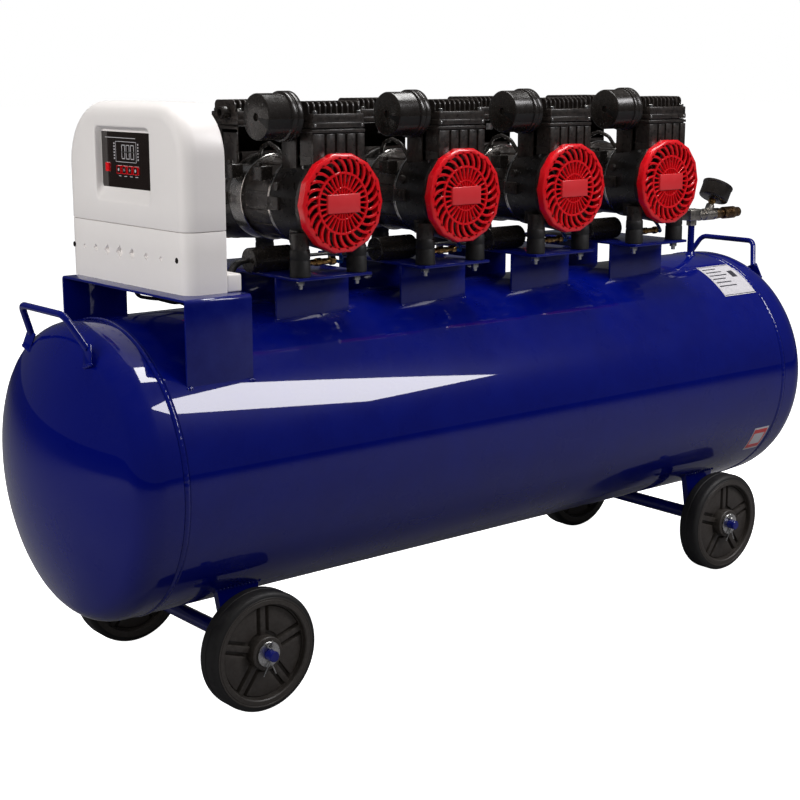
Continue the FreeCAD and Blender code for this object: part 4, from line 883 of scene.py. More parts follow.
# control box: a moulded base and a domed cover with a sloping display recess
coverLow, coverHigh = nodeBox("control_box_cover")
baseLow, baseHigh = nodeBox("control_box_base")
controlBox = {
    "faceX": coverLow.x, "backX": coverHigh.x, "ledgeX": baseHigh.x, "ledgeTop": 28.0,
    "low": baseLow.z, "seam": coverLow.z, "top": coverHigh.z, "rightY": coverLow.y, "leftY": coverHigh.y,
    "leftShoulder": 104.0, "rightShoulder": 84.0, "frontRound": 24.0, "backRound": 5.0,
    "opening": (-50.0, 122.0, 803.0, 923.0), "floor": (-38.0, 121.0, 821.0, 917.0), "recess": 12.2,
    "diamondZ": 723.0, "diamonds": ((169.5, 4.5), (131, 6.5), (92, 9), (52.5, 11), (13, 9), (-31, 6.5), (-75, 4.5)),
    "screws": ((205.0, 723.0), (-122.0, 724.5)),
}


def boxBody():
    # whole outline in the YZ plane, carried back along X, with the front rim rolled over
    c = controlBox
    bm = bmesh.new()
    x = c["faceX"]
    foot = [bm.verts.new((x, c["rightY"], c["low"])), bm.verts.new((x, c["leftY"], c["low"]))]
    rise = bm.verts.new((x, c["leftY"], c["top"] - c["leftShoulder"]))
    left = arcOn(bm, rise, (x, c["leftY"] - c["leftShoulder"], c["top"] - c["leftShoulder"]), (1, 0, 0), 90, 14)
    start = bm.verts.new((x, c["rightY"] + c["rightShoulder"], c["top"]))
    right = arcOn(bm, start, (x, c["rightY"] + c["rightShoulder"], c["top"] - c["rightShoulder"]), (1, 0, 0), 90, 12)
    loop = foot + [rise] + left + [start] + right
    for edge in list(bm.edges):
        bm.edges.remove(edge)
    extrudeLoop(bm, loop, (c["backX"] - x, 0, 0))
    bmesh.ops.recalc_face_normals(bm, faces=bm.faces)
    for plane, width, segments in ((x, c["frontRound"], 7), (c["backX"], c["backRound"], 4)):
        rim = [e for e in bm.edges if all(abs(v.co.x - plane) < 0.01 for v in e.verts)
               and max(v.co.z for v in e.verts) > c["low"] + 1]
        roundEdges(bm, rim, width, segments)
    return bm


def bounding(low, high, bottom, top):
    # the four planes round a rectangle on the box's face
    return (((0, low, 0), (0, 1, 0)), ((0, high, 0), (0, 1, 0)), ((0, 0, bottom), (0, 0, 1)), ((0, 0, top), (0, 0, 1)))


def cutBody(bm, place, normal, clear=False):
    geom = list(bm.verts) + list(bm.edges) + list(bm.faces)
    cut = bmesh.ops.bisect_plane(bm, geom=geom, dist=0.001, plane_co=place, plane_no=normal, clear_outer=clear)
    if clear:
        rim = [g for g in cut["geom_cut"] if isinstance(g, bmesh.types.BMEdge)]
        bmesh.ops.holes_fill(bm, edges=rim, sides=0)
        place, normal = Vector(place), Vector(normal)
        soften(bm, 1.0, 2, 50, [e for e in bm.edges if all(abs((v.co - place).dot(normal)) < 0.05 for v in e.verts)])


def faceAt(bm, x, y, z):
    # the flat front face whose middle lies nearest a point
    near = [f for f in bm.faces if abs(f.normal.x + 1) < 0.01 and abs(f.calc_center_median().x - x) < 0.5]
    near.sort(key=lambda f: (f.calc_center_median() - Vector((x, y, z))).length)
    return near[0]


def makeCover():
    c = controlBox
    bm = boxBody()
    cutBody(bm, (0, 0, c["seam"] + 0.5), (0, 0, -1), True)
    y0, y1, z0, z1 = c["opening"]
    for place, normal in bounding(y0, y1, z0, z1):
        cutBody(bm, place, normal)
    well = faceAt(bm, c["faceX"], (y0 + y1) / 2, (z0 + z1) / 2)
    bmesh.ops.inset_individual(bm, faces=[well], thickness=3, depth=-c["recess"], use_even_offset=True)
    low, high, bottom, top = c["floor"]
    for vert in well.verts:
        vert.co.x = c["faceX"] + c["recess"]
        vert.co.y = low if vert.co.y < (y0 + y1) / 2 else high
        vert.co.z = bottom if vert.co.z < (z0 + z1) / 2 else top
    slants = [e for v in well.verts for e in v.link_edges if e not in list(well.edges)]
    roundEdges(bm, slants, 9, 5)
    bmesh.ops.recalc_face_normals(bm, faces=bm.faces)
    mouth = [e for e in sharpEdges(bm.edges, 20) if all(abs(v.co.x - c["faceX"]) < 0.05 and z0 - 1 < v.co.z < z1 + 1
                                                        and y0 - 1 < v.co.y < y1 + 1 for v in e.verts)]
    roundEdges(bm, mouth, 2.2, 3)
    finishPiece(bm, "boxCover", paint["boxPlastic"], slot="box_plastic", replaces=["control_box_cover"], smooth=30)


def makeBase():
    c = controlBox
    bm = boxBody()
    cutBody(bm, (0, 0, c["seam"] - 0.5), (0, 0, 1), True)
    z = c["diamondZ"]
    for y, half in c["diamonds"]:
        for place, normal in bounding(y - half, y + half, z - half, z + half):
            cutBody(bm, place, normal)
    for y, half in c["diamonds"]:
        cells = [f for f in bm.faces if abs(f.normal.x + 1) < 0.01 and abs(f.calc_center_median().x - c["faceX"]) < 0.5
                 and all(abs(v.co.y - y) < half + 0.01 and abs(v.co.z - z) < half + 0.01 for v in f.verts)]
        merged = bmesh.ops.dissolve_faces(bm, faces=cells, use_verts=False)["region"][0] if len(cells) > 1 else cells[0]
        middles = []
        for wanted in ((0, 1), (1, 0), (0, -1), (-1, 0)):
            spot = Vector((c["faceX"], y + wanted[0] * half, z + wanted[1] * half))
            there = [v for v in merged.verts if (v.co - spot).length < 0.05]
            if not there:
                # the edge this spot lies between the two ends of
                ends = [(e, *[(v.co - spot).normalized() for v in e.verts]) for e in merged.edges]
                side = [e for e, one, other in ends if abs(one.dot(other) + 1) < 0.001][0]
                near = side.verts[0]
                there = [bmesh.utils.edge_split(side, near, (spot - near.co).length / side.calc_length())[1]]
            middles.append(there[0])
        for a, b in zip(middles, middles[1:] + middles[:1]):
            bmesh.ops.connect_verts(bm, verts=[a, b])
        centre = Vector((c["faceX"], y, z))
        diamond = min((f for f in middles[0].link_faces if abs(f.normal.x + 1) < 0.01),
                      key=lambda f: (f.calc_center_median() - centre).length)
        bmesh.ops.inset_individual(bm, faces=[diamond], thickness=half * 0.2, depth=-half * 0.55, use_even_offset=True)
    addBlock(bm, (c["backX"] - 2, c["rightY"] + 0.2, c["low"]),
             (c["ledgeX"], c["leftY"] - 0.2, c["low"] + c["ledgeTop"]), 3.0, 3)
    finishPiece(bm, "boxBase", paint["boxPlastic"], slot="box_plastic", replaces=["control_box_base"], smooth=30)


def makeScrewWellShade():
    # painted shade: dark discs, a hair proud of the face, stand for the screw wells instead of their depth
    bm = bmesh.new()
    x = controlBox["faceX"]
    for y, z in controlBox["screws"]:
        outline = [(-1.0, 0), (-1.0, 4.6), (0.2, 4.6), (0.3, 4.2), (0.15, 3.6), (0.15, 0)]
        addTurned(bm, outline, (x, y, z), (-1, 0, 0), 28, closed=False)
    finishPiece(bm, "screwWellShade", paint["darkPlastic"], slot="black_plastic")


def makeDisplay():
    # printed frame, three figures, two columns of marks and the outlines of the keys, a hair above the panel
    x = nodeBox("display_panel")[0].x - 0.15

    def mark(bm, y0, y1, z0, z1):
        addBlock(bm, (x, y0, z0), (x + 0.3, y1, z1))

    def outline(bm, y0, y1, z0, z1, line):
        mark(bm, y0, y1, z0, z0 + line)
        mark(bm, y0, y1, z1 - line, z1)
        mark(bm, y0, y0 + line, z0, z1)
        mark(bm, y1 - line, y1, z0, z1)

    bm = bmesh.new()
    outline(bm, 10, 75, 866, 899, 0.8)
    for i in range(3):
        y = 56 - 14 * i
        outline(bm, y - 11, y, 871, 883, 1.4)
        outline(bm, y - 11, y, 881.6, 894, 1.4)
    for side in (4.5, 79.5):
        for i in range(6):
            mark(bm, side - 1.6, side + 1.6, 870 + 4.8 * i, 872.6 + 4.8 * i)
    mark(bm, 12, 108, 904, 905)
    for i in range(4):
        mark(bm, 58.8 - 17.6 * i, 67.2 - 17.6 * i, 843.4, 844.4)
    finishPiece(bm, "displayMarks", paint["labelWhite"], slot="box_plastic")
    for index, name in enumerate(("key_mode", "key_up", "key_down", "key_set")):
        low, high = nodeBox(name)
        bm = bmesh.new()
        y, z, front = (low.y + high.y) / 2, (low.z + high.z) / 2, low.x - 0.12
        addBlock(bm, (front, low.y + 1.1, low.z + 1.1), (front + 0.2, high.y - 1.1, high.z - 1.1))
        finishPiece(bm, name + "_face", paint["glossPanel"], body=name, slot="gloss_black")
        bm = bmesh.new()
        if index in (1, 2):
            addBlock(bm, (front - 0.1, y - 2.6, z - 0.5), (front + 0.2, y + 2.6, z + 0.5))
            addBlock(bm, (front - 0.1, y - 0.5, z - 2.6), (front + 0.2, y + 0.5, z + 2.6))
        else:
            addRod(bm, 2.4, (front - 0.1, y, z), (front + 0.2, y, z), 20)
        finishPiece(bm, name + "_symbol", paint["labelWhite"], body=name, slot="box_plastic")


makeCover()
makeBase()
makeScrewWellShade()
makeDisplay()
print("control box done")

# running gear: moulded wheels with a tyre ring, five barred spokes and a hub
gear = {
    "width": 45.0, "radius": 100.0, "rim": 78.0, "hub": 28.0, "bore": 9.2, "spokes": 5,
    "barHalf": 5.0, "gap": 6.5, "padOuter": 75.0, "padInner": 34.0, "face": 9.0, "treadEdge": 90.8,
    "outerFace": 228.0, "rodEnd": 252.0, "washer": 233.5, "pinY": 238.6,
}


def wheelOutline(bm, loops, side):
    for outline, sides in loops:
        addTurned(bm, [(a - gear["width"] / 2, r) for a, r in outline], (0, 0, 0), (0, side, 0), sides)


def spokePad(bm, centre):
    # one raised field of the web between two spoke bars, its sides parallel to them
    g = gear
    reach = g["barHalf"] + g["gap"]
    half = math.pi / g["spokes"]
    points = []
    for radius, steps in ((g["padOuter"], 10), (g["padInner"], 4)):
        swing = half - math.asin(reach / radius)
        turns = [swing * (1 - 2 * i / steps) for i in range(steps + 1)]
        points += [(radius, t) for t in (turns if radius == g["padOuter"] else reversed(turns))]
    level = g["width"] / 2 - g["face"]
    ring = [bm.verts.new((r * math.sin(centre + t), -level, r * math.cos(centre + t))) for r, t in points]
    soften(bm, 1.3, 2, 40, edgesOf(extrudeLoop(bm, ring, (0, 2 * level, 0))))


def makeWheels():
    g = gear
    w = g["width"]
    for side, row in ((-1, "front"), (1, "rear")):
        names = [f"wheel_{row}_{hand}" for hand in ("left", "right")]
        bm = bmesh.new()
        shoulder = [(0, 90.5), (0.8, 91.2), (1.0, 94.5), (3.2, 97.6), (6.5, 99.5), (10, 100)]
        tyre = [(g["face"], g["rim"]), (1.6, g["rim"] + 0.6), (0, g["rim"] + 2.4)] + shoulder
        tyre += [(20, 100), (20.6, 99.3), (24.4, 99.3), (25, 100)] + [(w - a, r) for a, r in reversed(shoulder)]
        tyre += [(w, 88.6), (w - 0.5, 88.1), (w - 0.5, 87.3), (w, 86.8), (w, g["rim"] + 2.4),
                 (w - 1.6, g["rim"] + 0.6), (w - g["face"], g["rim"])]
        wheelOutline(bm, [(tyre, 96)], side)
        for face in bm.faces:
            centre = face.calc_center_median()
            face.material_index = 1 if math.hypot(centre.x, centre.z) > g["treadEdge"] else 0
        web = [(17, g["hub"] - 1), (17, g["padOuter"] + 0.5),
               (g["face"], g["padOuter"] + 1.5), (g["face"], g["rim"] + 0.5),
               (w - g["face"], g["rim"] + 0.5), (w - g["face"], g["padOuter"] + 1.5),
               (w - 17, g["padOuter"] + 0.5), (w - 17, g["hub"] - 1)]
        hub = [(-2.5, g["bore"]), (-2.5, 26.5), (-1, g["hub"]), (w + 3.5, g["hub"]), (w + 5, 26.5), (w + 5, 13),
               (w + 4.2, 12), (w + 4.2, g["bore"])]
        wheelOutline(bm, [(web, 96), (hub, 72)], side)
        for i in range(g["spokes"]):
            angle = 2 * math.pi * i / g["spokes"]
            spokePad(bm, angle + math.pi / g["spokes"])
            turn = Matrix.Rotation(angle, 4, "Y")
            addCube(bm, turn @ Matrix.Translation((0, 0, (g["hub"] + g["rim"]) / 2 - 0.5)),
                    (2 * g["barHalf"], w - 2 * g["face"] + 1.0, g["rim"] - g["hub"] + 1), 1.2, 2)
        mesh = meshOf(bm, "wheel", [paint["wheelMoulding"], paint["softRubber"]])
        for name in names:
            low, high = nodeBox(name)
            offset = ((low.x + high.x) / 2, side * (g["outerFace"] - w / 2), g["radius"])
            copyAt(mesh, offset, name + "_moulding", body=name, slot="wheel_moulding", replaces=[name])
        bpy.data.meshes.remove(mesh)


def makeAxleEnds():
    # polished washers, and split pins with a round eye and two splayed legs
    bm = bmesh.new()
    pins = bmesh.new()
    rods = bmesh.new()
    for name in ("wheel_front_left", "wheel_front_right"):
        x = middle(name).x
        hubPlace, end, flat = (x, 0, gear["radius"]), gear["rodEnd"], gear["washer"]
        rod = [(-end, 0), (-end, 7.6), (-end + 1.6, 9), (end - 1.6, 9), (end, 7.6), (end, 0)]
        addTurned(rods, rod, hubPlace, (0, 1, 0), 40, closed=False)
        for side in (-1, 1):
            washer = [(flat, 9.6), (flat, 20.4), (flat + 0.5, 21), (flat + 2, 21), (flat + 2.5, 20.4),
                      (flat + 2.5, 9.6)]
            addTurned(bm, washer, hubPlace, (0, side, 0), 48)
            y = side * gear["pinY"]
            addRod(pins, 1.6, (x, y, 89), (x, y, 111), 14)
            addTube(pins, [(x, y, 110.5), (x - 5, y, 113), (x - 4.5, y, 120.5), (x + 4.5, y, 120.5), (x + 5, y, 113),
                           (x, y, 110.5)], 1.5, 10, 4)
            for reach in (-15.0, 9.0):
                leg = [(x, y, 91), (x + reach * 0.25, y + side * 0.6, 84), (x + reach, y + side * 2, 67)]
                addTube(pins, leg, 1.1, 8, 8)
    finishPiece(bm, "axleWashers", paint["zincSteel"], slot="zinc_steel", replaces=["axle_washers"])
    finishPiece(pins, "splitPins", paint["zincSteel"], slot="zinc_steel", replaces=["cotter_pins"])
    finishPiece(rods, "axleRods", paint["sheetPaint"], slot="tank_paint", replaces=["axles"])


makeWheels()
makeAxleEnds()
print("running gear done")

# sheet work on the tank: bracket, saddles, handles, and the welds that hold them
sheets = {
    "bracketX": (-681.0, -560.0), "bracketY": (-186.0, 204.0), "bracketTop": 672.0, "bracketSheet": 4.0,
    "saddleX": (-83.6, 67.0), "saddleY": 154.0, "flangeY": 90.0, "saddleSheet": 5.0, "saddleTop": 681.8,
    "handleFoot": (797.0, 92.0, 600.0), "handleTop": (822.0, 70.0, 650.5),
}


def tankTopAt(y):
    return receiver["axisZ"] + math.sqrt(receiver["radius"] ** 2 - y ** 2)


def weldSpot(bm, x, y, seed, size=5.0):
    # a small puddle of weld: a few flattened drops that run into one another
    for i in range(3):
        jitter = noise.noise_vector(Vector((seed * 3.1, i * 7.7, 1.5)))
        px, py = x + jitter.x * size * 1.6, y + jitter.y * size * 0.5
        normal = Vector((0, py, math.sqrt(receiver["radius"] ** 2 - py ** 2))).normalized()
        centre = Vector((px, 0, receiver["axisZ"])) + normal * (receiver["radius"] + 0.3)
        scale = size * (0.75 + 0.4 * jitter.z)
        drop = Matrix.Translation(centre) @ aim(normal) @ Matrix.Diagonal((scale, scale * 0.8, scale * 0.45, 1))
        bmesh.ops.create_icosphere(bm, subdivisions=3, radius=1, matrix=drop)


def makeBracket():
    s = sheets
    x0, x1 = s["bracketX"]
    y0, y1 = s["bracketY"]
    t, top = s["bracketSheet"], s["bracketTop"]
    bm = bmesh.new()
    z0, z1 = tankTopAt(y0) - 2, tankTopAt(y1) - 2
    points = [(y0, z0), (y0, top), (y1, top), (y1, z1),
              (y1 - t, z1), (y1 - t, top - t), (y0 + t, top - t), (y0 + t, z0)]
    ring = [bm.verts.new((x0, y, z)) for y, z in points]
    extrudeLoop(bm, ring, (x1 - x0, 0, 0))
    bends = [e for e in bm.edges if abs(e.verts[0].co.x - e.verts[1].co.x) > 50
             and all(abs(v.co.z - top) < 0.1 for v in e.verts)]
    roundEdges(bm, bends, 7, 5, clamp=False)
    soften(bm, 0.7, 2, 45)
    finishPiece(bm, "bracketSheet", paint["sheetPaint"], slot="tank_paint", replaces=["control_bracket"])


def makeSaddles():
    s = sheets
    x0, x1 = s["saddleX"]
    t, top, edge = s["saddleSheet"], s["saddleTop"], s["saddleY"]
    bm = bmesh.new()
    for place in pumpPlaces:
        addBlock(bm, (place.x + x0, -edge, top - t), (place.x + x1, edge, top), 0.9, 2)
        for side in (-1, 1):
            y = side * s["flangeY"]
            addBlock(bm, (place.x + x0 + 0.2, y, tankTopAt(s["flangeY"] - t) - 3),
                     (place.x + x1 - 0.2, y - side * t, top - t + 0.5), 0.9, 2)
    finishPiece(bm, "saddleSheets", paint["sheetPaint"], slot="tank_paint", replaces=["pump_saddles"])


def makeWelds():
    s = sheets
    bm = bmesh.new()
    seed = 1
    for place in pumpPlaces:
        for side in (-1, 1):
            for x, size in ((s["saddleX"][0] + 2, 4.4), (s["saddleX"][1] - 2, 3.6), (8.0, 2.6)):
                weldSpot(bm, place.x + x, side * (s["flangeY"] + 2), seed, size)
                seed += 1
    for y in (s["bracketY"][0] - 2, s["bracketY"][1] + 2):
        for x in s["bracketX"]:
            weldSpot(bm, x + (4 if x < -600 else -4), y, seed, 4.6)
            seed += 1
    finishPiece(bm, "weldTacks", paint["tankPaint"], slot="tank_paint", smooth=60)


def makeHandles():
    for side, name in ((-1, "left"), (1, "right")):
        bm = bmesh.new()
        (fx, fy, fz), (tx, ty, tz) = sheets["handleFoot"], sheets["handleTop"]
        bar = [(side * fx, -fy, fz), (side * tx, -ty, tz), (side * tx, ty, tz), (side * fx, fy, fz)]
        addTube(bm, bar, 5.5, 24, 20, 8)
        for flank in (-1, 1):
            turn = Matrix.Translation((side * fx, flank * fy, fz)) \
                @ Matrix.Rotation(math.radians(flank * 20), 4, "X") @ Matrix.Rotation(math.radians(-side * 12), 4, "Y")
            addCube(bm, turn @ Matrix.Translation((side * -0.5, 0, -13)), (3.4, 24, 34), 1.1, 3)
            for drop in (-8, 0, 8):
                spot = turn @ Matrix.Translation((side * -1, drop, -27)) @ Matrix.Diagonal((4, 5.5, 3.6, 1))
                bmesh.ops.create_icosphere(bm, subdivisions=2, radius=1, matrix=spot)
        finishPiece(bm, "handle_" + name, paint["tankPaint"], slot="tank_paint", replaces=["lift_handle_" + name])


def tankPlate(bm, x0, x1, a0, a1, low, high, steps=14):
    # a thin plate bent round the receiver; angles run from the top towards the front
    centre = (0, 0, receiver["axisZ"])
    crown = receiver["axisZ"] + receiver["radius"]
    ring = [bm.verts.new((x, 0, crown + r)) for x, r in ((x0, low), (x1, low), (x1, high), (x0, high))]
    face = bm.faces.new(ring)
    bmesh.ops.rotate(bm, verts=ring, cent=centre, matrix=Matrix.Rotation(math.radians(a0), 3, "X"))
    bmesh.ops.spin(bm, geom=[face] + list(face.edges) + ring, cent=centre, axis=(1, 0, 0), dvec=(0, 0, 0),
                   angle=math.radians(a1 - a0), steps=steps, use_merge=False, use_duplicate=False)


def makeLabels():
    bm = bmesh.new()
    tankPlate(bm, 614, 712, 21.3, 43.8, 0.0, 0.5)
    start = len(bm.faces)
    for i in range(6):
        tankPlate(bm, 620, 660 + 7 * (i % 3), 24 + 2.6 * i, 24.7 + 2.6 * i, 0.4, 0.7, 2)
    tankPlate(bm, 684, 700, 27, 32, 0.4, 0.65, 3)
    for a in (21.8, 43.0):
        tankPlate(bm, 616, 710, a, a + 0.35, 0.4, 0.7, 2)
    paintFaces(bm, 1, start)
    finishPiece(bm, "ratingPlate", [paint["labelWhite"], paint["labelInk"]], slot="box_plastic")
    bm = bmesh.new()
    tankPlate(bm, 662, 708, 114, 128, 0.0, 0.4)
    start = len(bm.faces)
    # the sticker's frame, bar by bar: from and to along x, from and to in degrees, steps
    for x0, x1, a0, a1, steps in ((664, 706, 115, 117.4, 3), (664, 706, 124.6, 127, 3),
                                  (664, 668, 115, 127, 6), (702, 706, 115, 127, 6)):
        tankPlate(bm, x0, x1, a0, a1, 0.3, 0.6, steps)
    paintFaces(bm, 1, start)
    finishPiece(bm, "tankSticker", [paint["labelWhite"], paint["signalRed"]], slot="box_plastic")


makeBracket()
makeSaddles()
makeWelds()
makeHandles()
makeLabels()
print("sheet work done")

# outlet: riser, nickel block, gauge with its dial, coupler
sleeveLow, sleeveHigh = nodeBox("coupler_sleeve")
outlet = {"y": -12.0, "z": 709.0, "riserX": 685.0, "riser": 7.0, "stemX": 735.0,
          "gauge": 33.0, "gaugeDepth": 34.0, "gaugeStart": 37.0, "tilt": 28.6}


def makeOutlet():
    o = outlet
    y, z = o["y"], o["z"]
    # blue riser with a weld collar where it leaves the tank
    bm = bmesh.new()
    foot = tankTopAt(y)
    addTube(bm, [(o["riserX"], y, foot - 3), (o["riserX"], y, z - 12)], o["riser"], 28)
    collar = [(foot - 1.5, 7), (foot - 1.5, 12.5), (foot + 1.0, 11.0), (foot + 4.5, 8.0), (foot + 7, 7)]
    addTurned(bm, collar, (o["riserX"], y, 0), (0, 0, 1), 36)
    finishPiece(bm, "riserTube", paint["tankPaint"], slot="tank_paint", replaces=["riser_pipe"])
    # cast block drilled three ways, with a hex body and two ribs on the way out
    bm = bmesh.new()
    addBlock(bm, (666, y - 14, z - 10), (700, y + 14, z + 14), 2.2, 3)
    addRod(bm, 11.5, (o["riserX"], y, z - 21), (o["riserX"], y, z - 9), 6, 1.0)
    body = [(699, 6), (699, 11.0), (703, 11.6), (706, 11.6), (707, 12.6), (711, 12.6), (712, 11.4), (722, 11.4),
            (723, 12.8), (747, 12.8), (748, 11.8), (751, 11.8), (752, 12.8), (756, 12.8), (757, 11.6), (757, 6)]
    addTurned(bm, body, (0, y, z), (1, 0, 0), 40)
    for dy in (-9, 9):
        addRod(bm, 2.6, (683, y + dy, z + 13.6), (683, y + dy, z + 16), 6, 0.5)
    addRod(bm, 1.6, (716, y - 17, z + 3), (716, y - 8, z + 3), 12, 0.3)
    lean = Vector((math.sin(math.radians(o["tilt"])), 0, math.cos(math.radians(o["tilt"]))))
    root = Vector((o["stemX"], y, z))
    addRod(bm, 9.0, root + lean * 4, root + lean * 22.5, 28, 0.8)
    finishPiece(bm, "outletBody", paint["nickelCasting"], slot="nickel_block", replaces=["outlet_block"])
    makeGauge(root, lean)


def makeGauge(root, lean):
    # brass stem, black case with a rolled bezel, printed dial behind a thin glass
    o = outlet
    start = o["gaugeStart"]
    bm = bmesh.new()
    addRod(bm, 6.4, root + lean * 22, root + lean * 28, 24, 0.4)
    addRod(bm, 8.2, root + lean * 27.5, root + lean * 35.5, 6, 0.8)
    finishPiece(bm, "gaugeStem", paint["turnedBrass"], slot="brass")
    bm = bmesh.new()
    end, r = start + o["gaugeDepth"], o["gauge"]
    case = [(start - 2, 0), (start - 2, 10), (start, 12), (start, r - 3.5), (start + 1, r - 2), (start + 3, r - 1.2),
            (end - 6, r - 1.2), (end - 5, r), (end - 1, r), (end, r - 1), (end, r - 3), (end - 9, r - 3), (end - 9, 0)]
    addTurned(bm, case, root, lean, 72, closed=False)
    finishPiece(bm, "gaugeCase", paint["darkPlastic"], slot="black_plastic", replaces=["gauge_body"])
    bm = bmesh.new()
    face = end - 8.9
    addTurned(bm, [(face, 0), (face, r - 3.4), (face + 0.3, r - 3.4), (face + 0.3, 0)], root, lean, 64, closed=False)
    start = len(bm.faces)
    across = Vector((0, 1, 0))
    up = lean.cross(across)
    for i in range(28):
        a = math.radians(-135 + 10 * i)
        way = up * math.cos(a) + across * math.sin(a)
        inner = r - (9.5 if i % 3 == 0 else 7.0)
        spot = root + lean * (face + 0.35)
        addRod(bm, 0.35, spot + way * inner, spot + way * (r - 4.6), 6)
    paintFaces(bm, 1, start)
    finishPiece(bm, "gaugeDial", [paint["labelWhite"], paint["labelInk"]], slot="box_plastic")
    bm = bmesh.new()
    addRod(bm, r - 3.1, root + lean * (end - 2.6), root + lean * (end - 1.2), 64, 0.2)
    finishPiece(bm, "gaugeGlass", clearGlass, slot="gloss_black")


def makeClearGlass():
    material = bpy.data.materials.new("clearGlass")
    material.use_nodes = True
    tree = material.node_tree
    shader = tree.nodes["Principled BSDF"]
    smear = effect(tree, surfaceGrain, Scale=40.0, Cloud_Scale=9.0)
    link(tree, rangeNode(tree, smear["Cloud"], 0.3, 0.7, 0.02, 0.07), shader.inputs["Roughness"])
    link(tree, tone(tree, smear["Fine"], (0.95, 0.97, 0.97), (1, 1, 1)), shader.inputs["Base Color"])
    shader.inputs["Metallic"].default_value = 0.0
    shader.inputs["Transmission Weight"].default_value = 1.0
    shader.inputs["IOR"].default_value = 1.45
    return material


clearGlass = makeClearGlass()


def makeCoupler():
    o = outlet
    y, z = o["y"], o["z"]
    bm = bmesh.new()
    plug = [(756, 4.5), (756, 9.5), (758, 11.2), (774, 11.2), (776, 10.2), (784, 9.0), (828, 9.0), (829, 10.4),
            (838, 10.4), (841, 8.2), (841, 4.5)]
    addTurned(bm, plug, (0, y, z), (1, 0, 0), 40)
    addRod(bm, 12.2, (759, y, z), (771, y, z), 6, 1.0)
    finishPiece(bm, "couplerPlug", paint["agedBronze"], slot="brass", replaces=["outlet_coupler"])
    r = (sleeveHigh.z - sleeveLow.z) / 2
    bm = bmesh.new()
    sleeve = [(786, 9.4), (786, r - 2), (788, r), (793, r)]
    for i in range(6):
        x = 794 + 3.2 * i
        sleeve += [(x, r), (x + 0.4, r - 0.8), (x + 1.4, r - 0.8), (x + 1.8, r)]
    sleeve += [(822, r), (826, r - 2.2), (826, 9.4)]
    addTurned(bm, sleeve, (0, y, z), (1, 0, 0), 48)
    finishPiece(bm, "couplerGrip", paint["agedBronze"], body="sleeve", slot="brass", replaces=["coupler_sleeve"])


legWeld = {"drops": 26, "tube": 14.0, "roundY": 150.6, "rowDrops": 13, "rowStep": 7, "rowHalf": 42, "rowY": 151}


def makeLegs():
    # a round of weld where the cross tube meets each leg, and a row of it where the leg meets the tank
    bm = bmesh.new()
    w = legWeld
    tankUnder = receiver["axisZ"] - math.sqrt(receiver["radius"] ** 2 - w["rowY"] ** 2)
    for name in ("leg_frame_left", "leg_frame_right"):
        x = middle(name).x
        for side in (-1, 1):
            for i in range(w["drops"]):
                a = 2 * math.pi * i / w["drops"]
                spot = (x + w["tube"] * math.cos(a), side * w["roundY"], gear["radius"] + w["tube"] * math.sin(a))
                bmesh.ops.create_icosphere(bm, subdivisions=1, radius=1.9, matrix=Matrix.Translation(spot))
            for i in range(w["rowDrops"]):
                spot = (x - w["rowHalf"] + w["rowStep"] * i, side * w["rowY"], tankUnder - 0.5)
                bmesh.ops.create_icosphere(bm, subdivisions=1, radius=2.6, matrix=Matrix.Translation(spot))
    finishPiece(bm, "legWelds", paint["tankPaint"], slot="tank_paint", smooth=60)


makeOutlet()
makeCoupler()
makeLegs()
print("outlet done")

# camera, lights and floor
view = {
    "cameraPlace": (-1.9027, -2.1710, 1.0081),
    "elevation": 11.93,
    "azimuth": 39.56,
    "lens": 69.93,
}


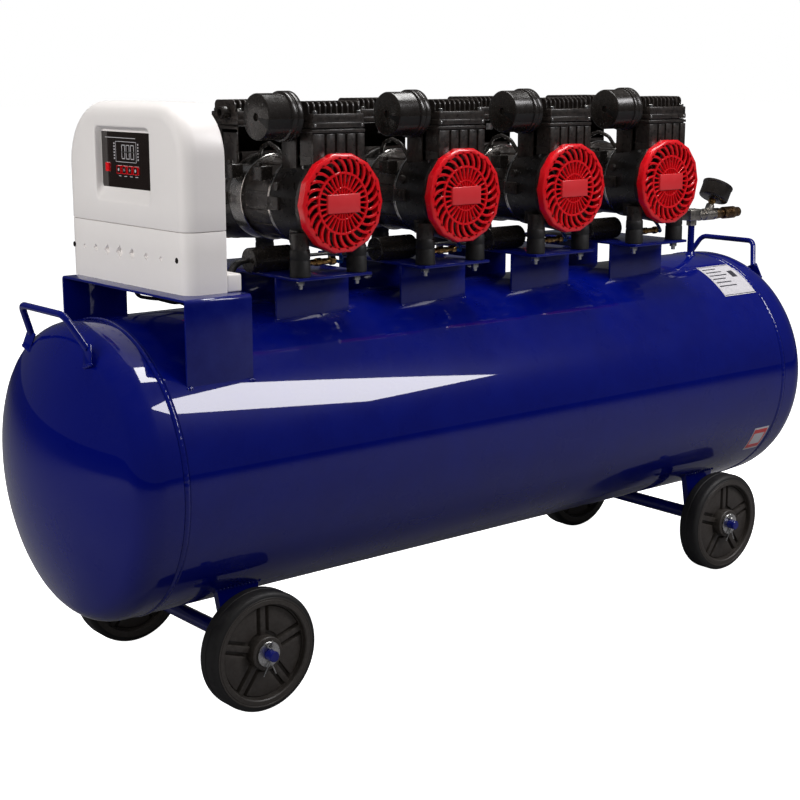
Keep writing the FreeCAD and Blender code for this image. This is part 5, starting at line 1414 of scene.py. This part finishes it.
def setStage():
    scene = bpy.context.scene
    scene.view_settings.view_transform = "Standard"
    scene.view_settings.look = "None"
    lens = bpy.data.cameras.new("camera")
    lens.lens = view["lens"]
    lens.sensor_width = 36
    lens.clip_end = 60
    camera = bpy.data.objects.new("camera", lens)
    camera.location = view["cameraPlace"]
    camera.rotation_euler = (math.radians(90 - view["elevation"]), 0, math.radians(-view["azimuth"]))
    scene.collection.objects.link(camera)
    scene.camera = camera

    softboxes = [
        # name, place, turn about z, size, power, colour, seen in reflections, tilt towards the object
        ("keySoftbox", (1.79, -2.39, 2.6), -39.7, (2.9, 0.7), 95, (1.0, 0.98, 1.0), True, False),
        ("endSoftbox", (0.36, 0.0, 2.6), 0.0, (0.3, 1.4), 22, (1.0, 0.99, 0.98), True, False),
        ("leftFill", (-3.6, 0.3, 1.7), 0.0, (2.0, 2.0), 66, (1.0, 0.99, 0.98), False, True),
        ("frontFill", (-2.4, -3.4, 2.0), 0.0, (2.0, 2.0), 34, (1.0, 0.99, 0.98), False, True),
        ("backFill", (1.5, 3.0, 2.4), 0.0, (2.4, 1.6), 40, (1.0, 1.0, 1.0), False, True),
        ("topFill", (-0.1, 0.25, 3.0), 0.0, (1.5, 0.9), 34, (1.0, 0.99, 0.98), False, True),
    ]
    for name, place, turn, size, power, colour, mirrored, tilted in softboxes:
        lamp = bpy.data.lights.new(name, "AREA")
        lamp.shape = "RECTANGLE"
        lamp.size, lamp.size_y = size
        lamp.energy = power
        lamp.color = colour
        lampObject = bpy.data.objects.new(name, lamp)
        lampObject.location = place
        lampObject.rotation_euler = (0, 0, math.radians(turn))
        if tilted:
            lampObject.rotation_euler = (Vector((0, 0, 0.5)) - Vector(place)).to_track_quat("-Z", "Y").to_euler()
        lampObject.visible_glossy = mirrored
        scene.collection.objects.link(lampObject)

    world = bpy.data.worlds.new("studio")
    scene.world = world
    world.use_nodes = True
    tree = world.node_tree
    tree.nodes.clear()
    dim = tree.nodes.new("ShaderNodeBackground")
    dim.inputs["Color"].default_value = (0.9, 0.93, 1.0, 1)
    dim.inputs["Strength"].default_value = 0.085
    pale = tree.nodes.new("ShaderNodeBackground")
    pale.inputs["Color"].default_value = (1, 1, 1, 1)
    pale.inputs["Strength"].default_value = 1.0
    rays = tree.nodes.new("ShaderNodeLightPath")
    mix = tree.nodes.new("ShaderNodeMixShader")
    out = tree.nodes.new("ShaderNodeOutputWorld")
    link(tree, rays.outputs["Is Camera Ray"], mix.inputs[0])
    link(tree, dim.outputs[0], mix.inputs[1])
    link(tree, pale.outputs[0], mix.inputs[2])
    link(tree, mix.outputs[0], out.inputs["Surface"])

    bm = bmesh.new()
    bmesh.ops.create_grid(bm, x_segments=1, y_segments=1, size=40)
    mesh = bpy.data.meshes.new("floor")
    bm.to_mesh(mesh)
    bm.free()
    floor = bpy.data.objects.new("floor", mesh)
    scene.collection.objects.link(floor)
    surface = bpy.data.materials.new("paleFloor")
    surface.use_nodes = True
    tree = surface.node_tree
    shader = tree.nodes["Principled BSDF"]
    shader.inputs["Roughness"].default_value = 0.9
    shader.inputs["Specular IOR Level"].default_value = 0.0
    rays = tree.nodes.new("ShaderNodeLightPath")
    # for camera rays the floor glows, ten per cent stronger near the machine: painted light that lifts the machine's
    # cast shadows; other rays see a dark grey floor
    reach = tree.nodes.new("ShaderNodeVectorMath")
    reach.operation = "LENGTH"
    link(tree, tree.nodes.new("ShaderNodeTexCoord").outputs["Object"], reach.inputs[0])
    # painted light: the glow is 1.1 within 0.9 m of the machine and falls to 1.0 by 2.6 m
    evenGlowAndPaintedLight = tone(tree, rangeNode(tree, reach.outputs["Value"], 0.9, 2.6), (1.1, 1.1, 1.1), (1, 1, 1))
    speck = effect(tree, surfaceGrain, Scale=30.0, Cloud_Scale=1.5)
    pale = tone(tree, speck["Cloud"], (0.9, 0.9, 0.9), (0.94, 0.94, 0.94))
    link(tree, tone(tree, rays.outputs["Is Camera Ray"], (0.2, 0.2, 0.21), pale), shader.inputs["Base Color"])
    link(tree, tone(tree, rays.outputs["Is Camera Ray"], (0, 0, 0), evenGlowAndPaintedLight), shader.inputs["Emission Color"])
    shader.inputs["Emission Strength"].default_value = 1.0
    mesh.materials.append(surface)


setStage()
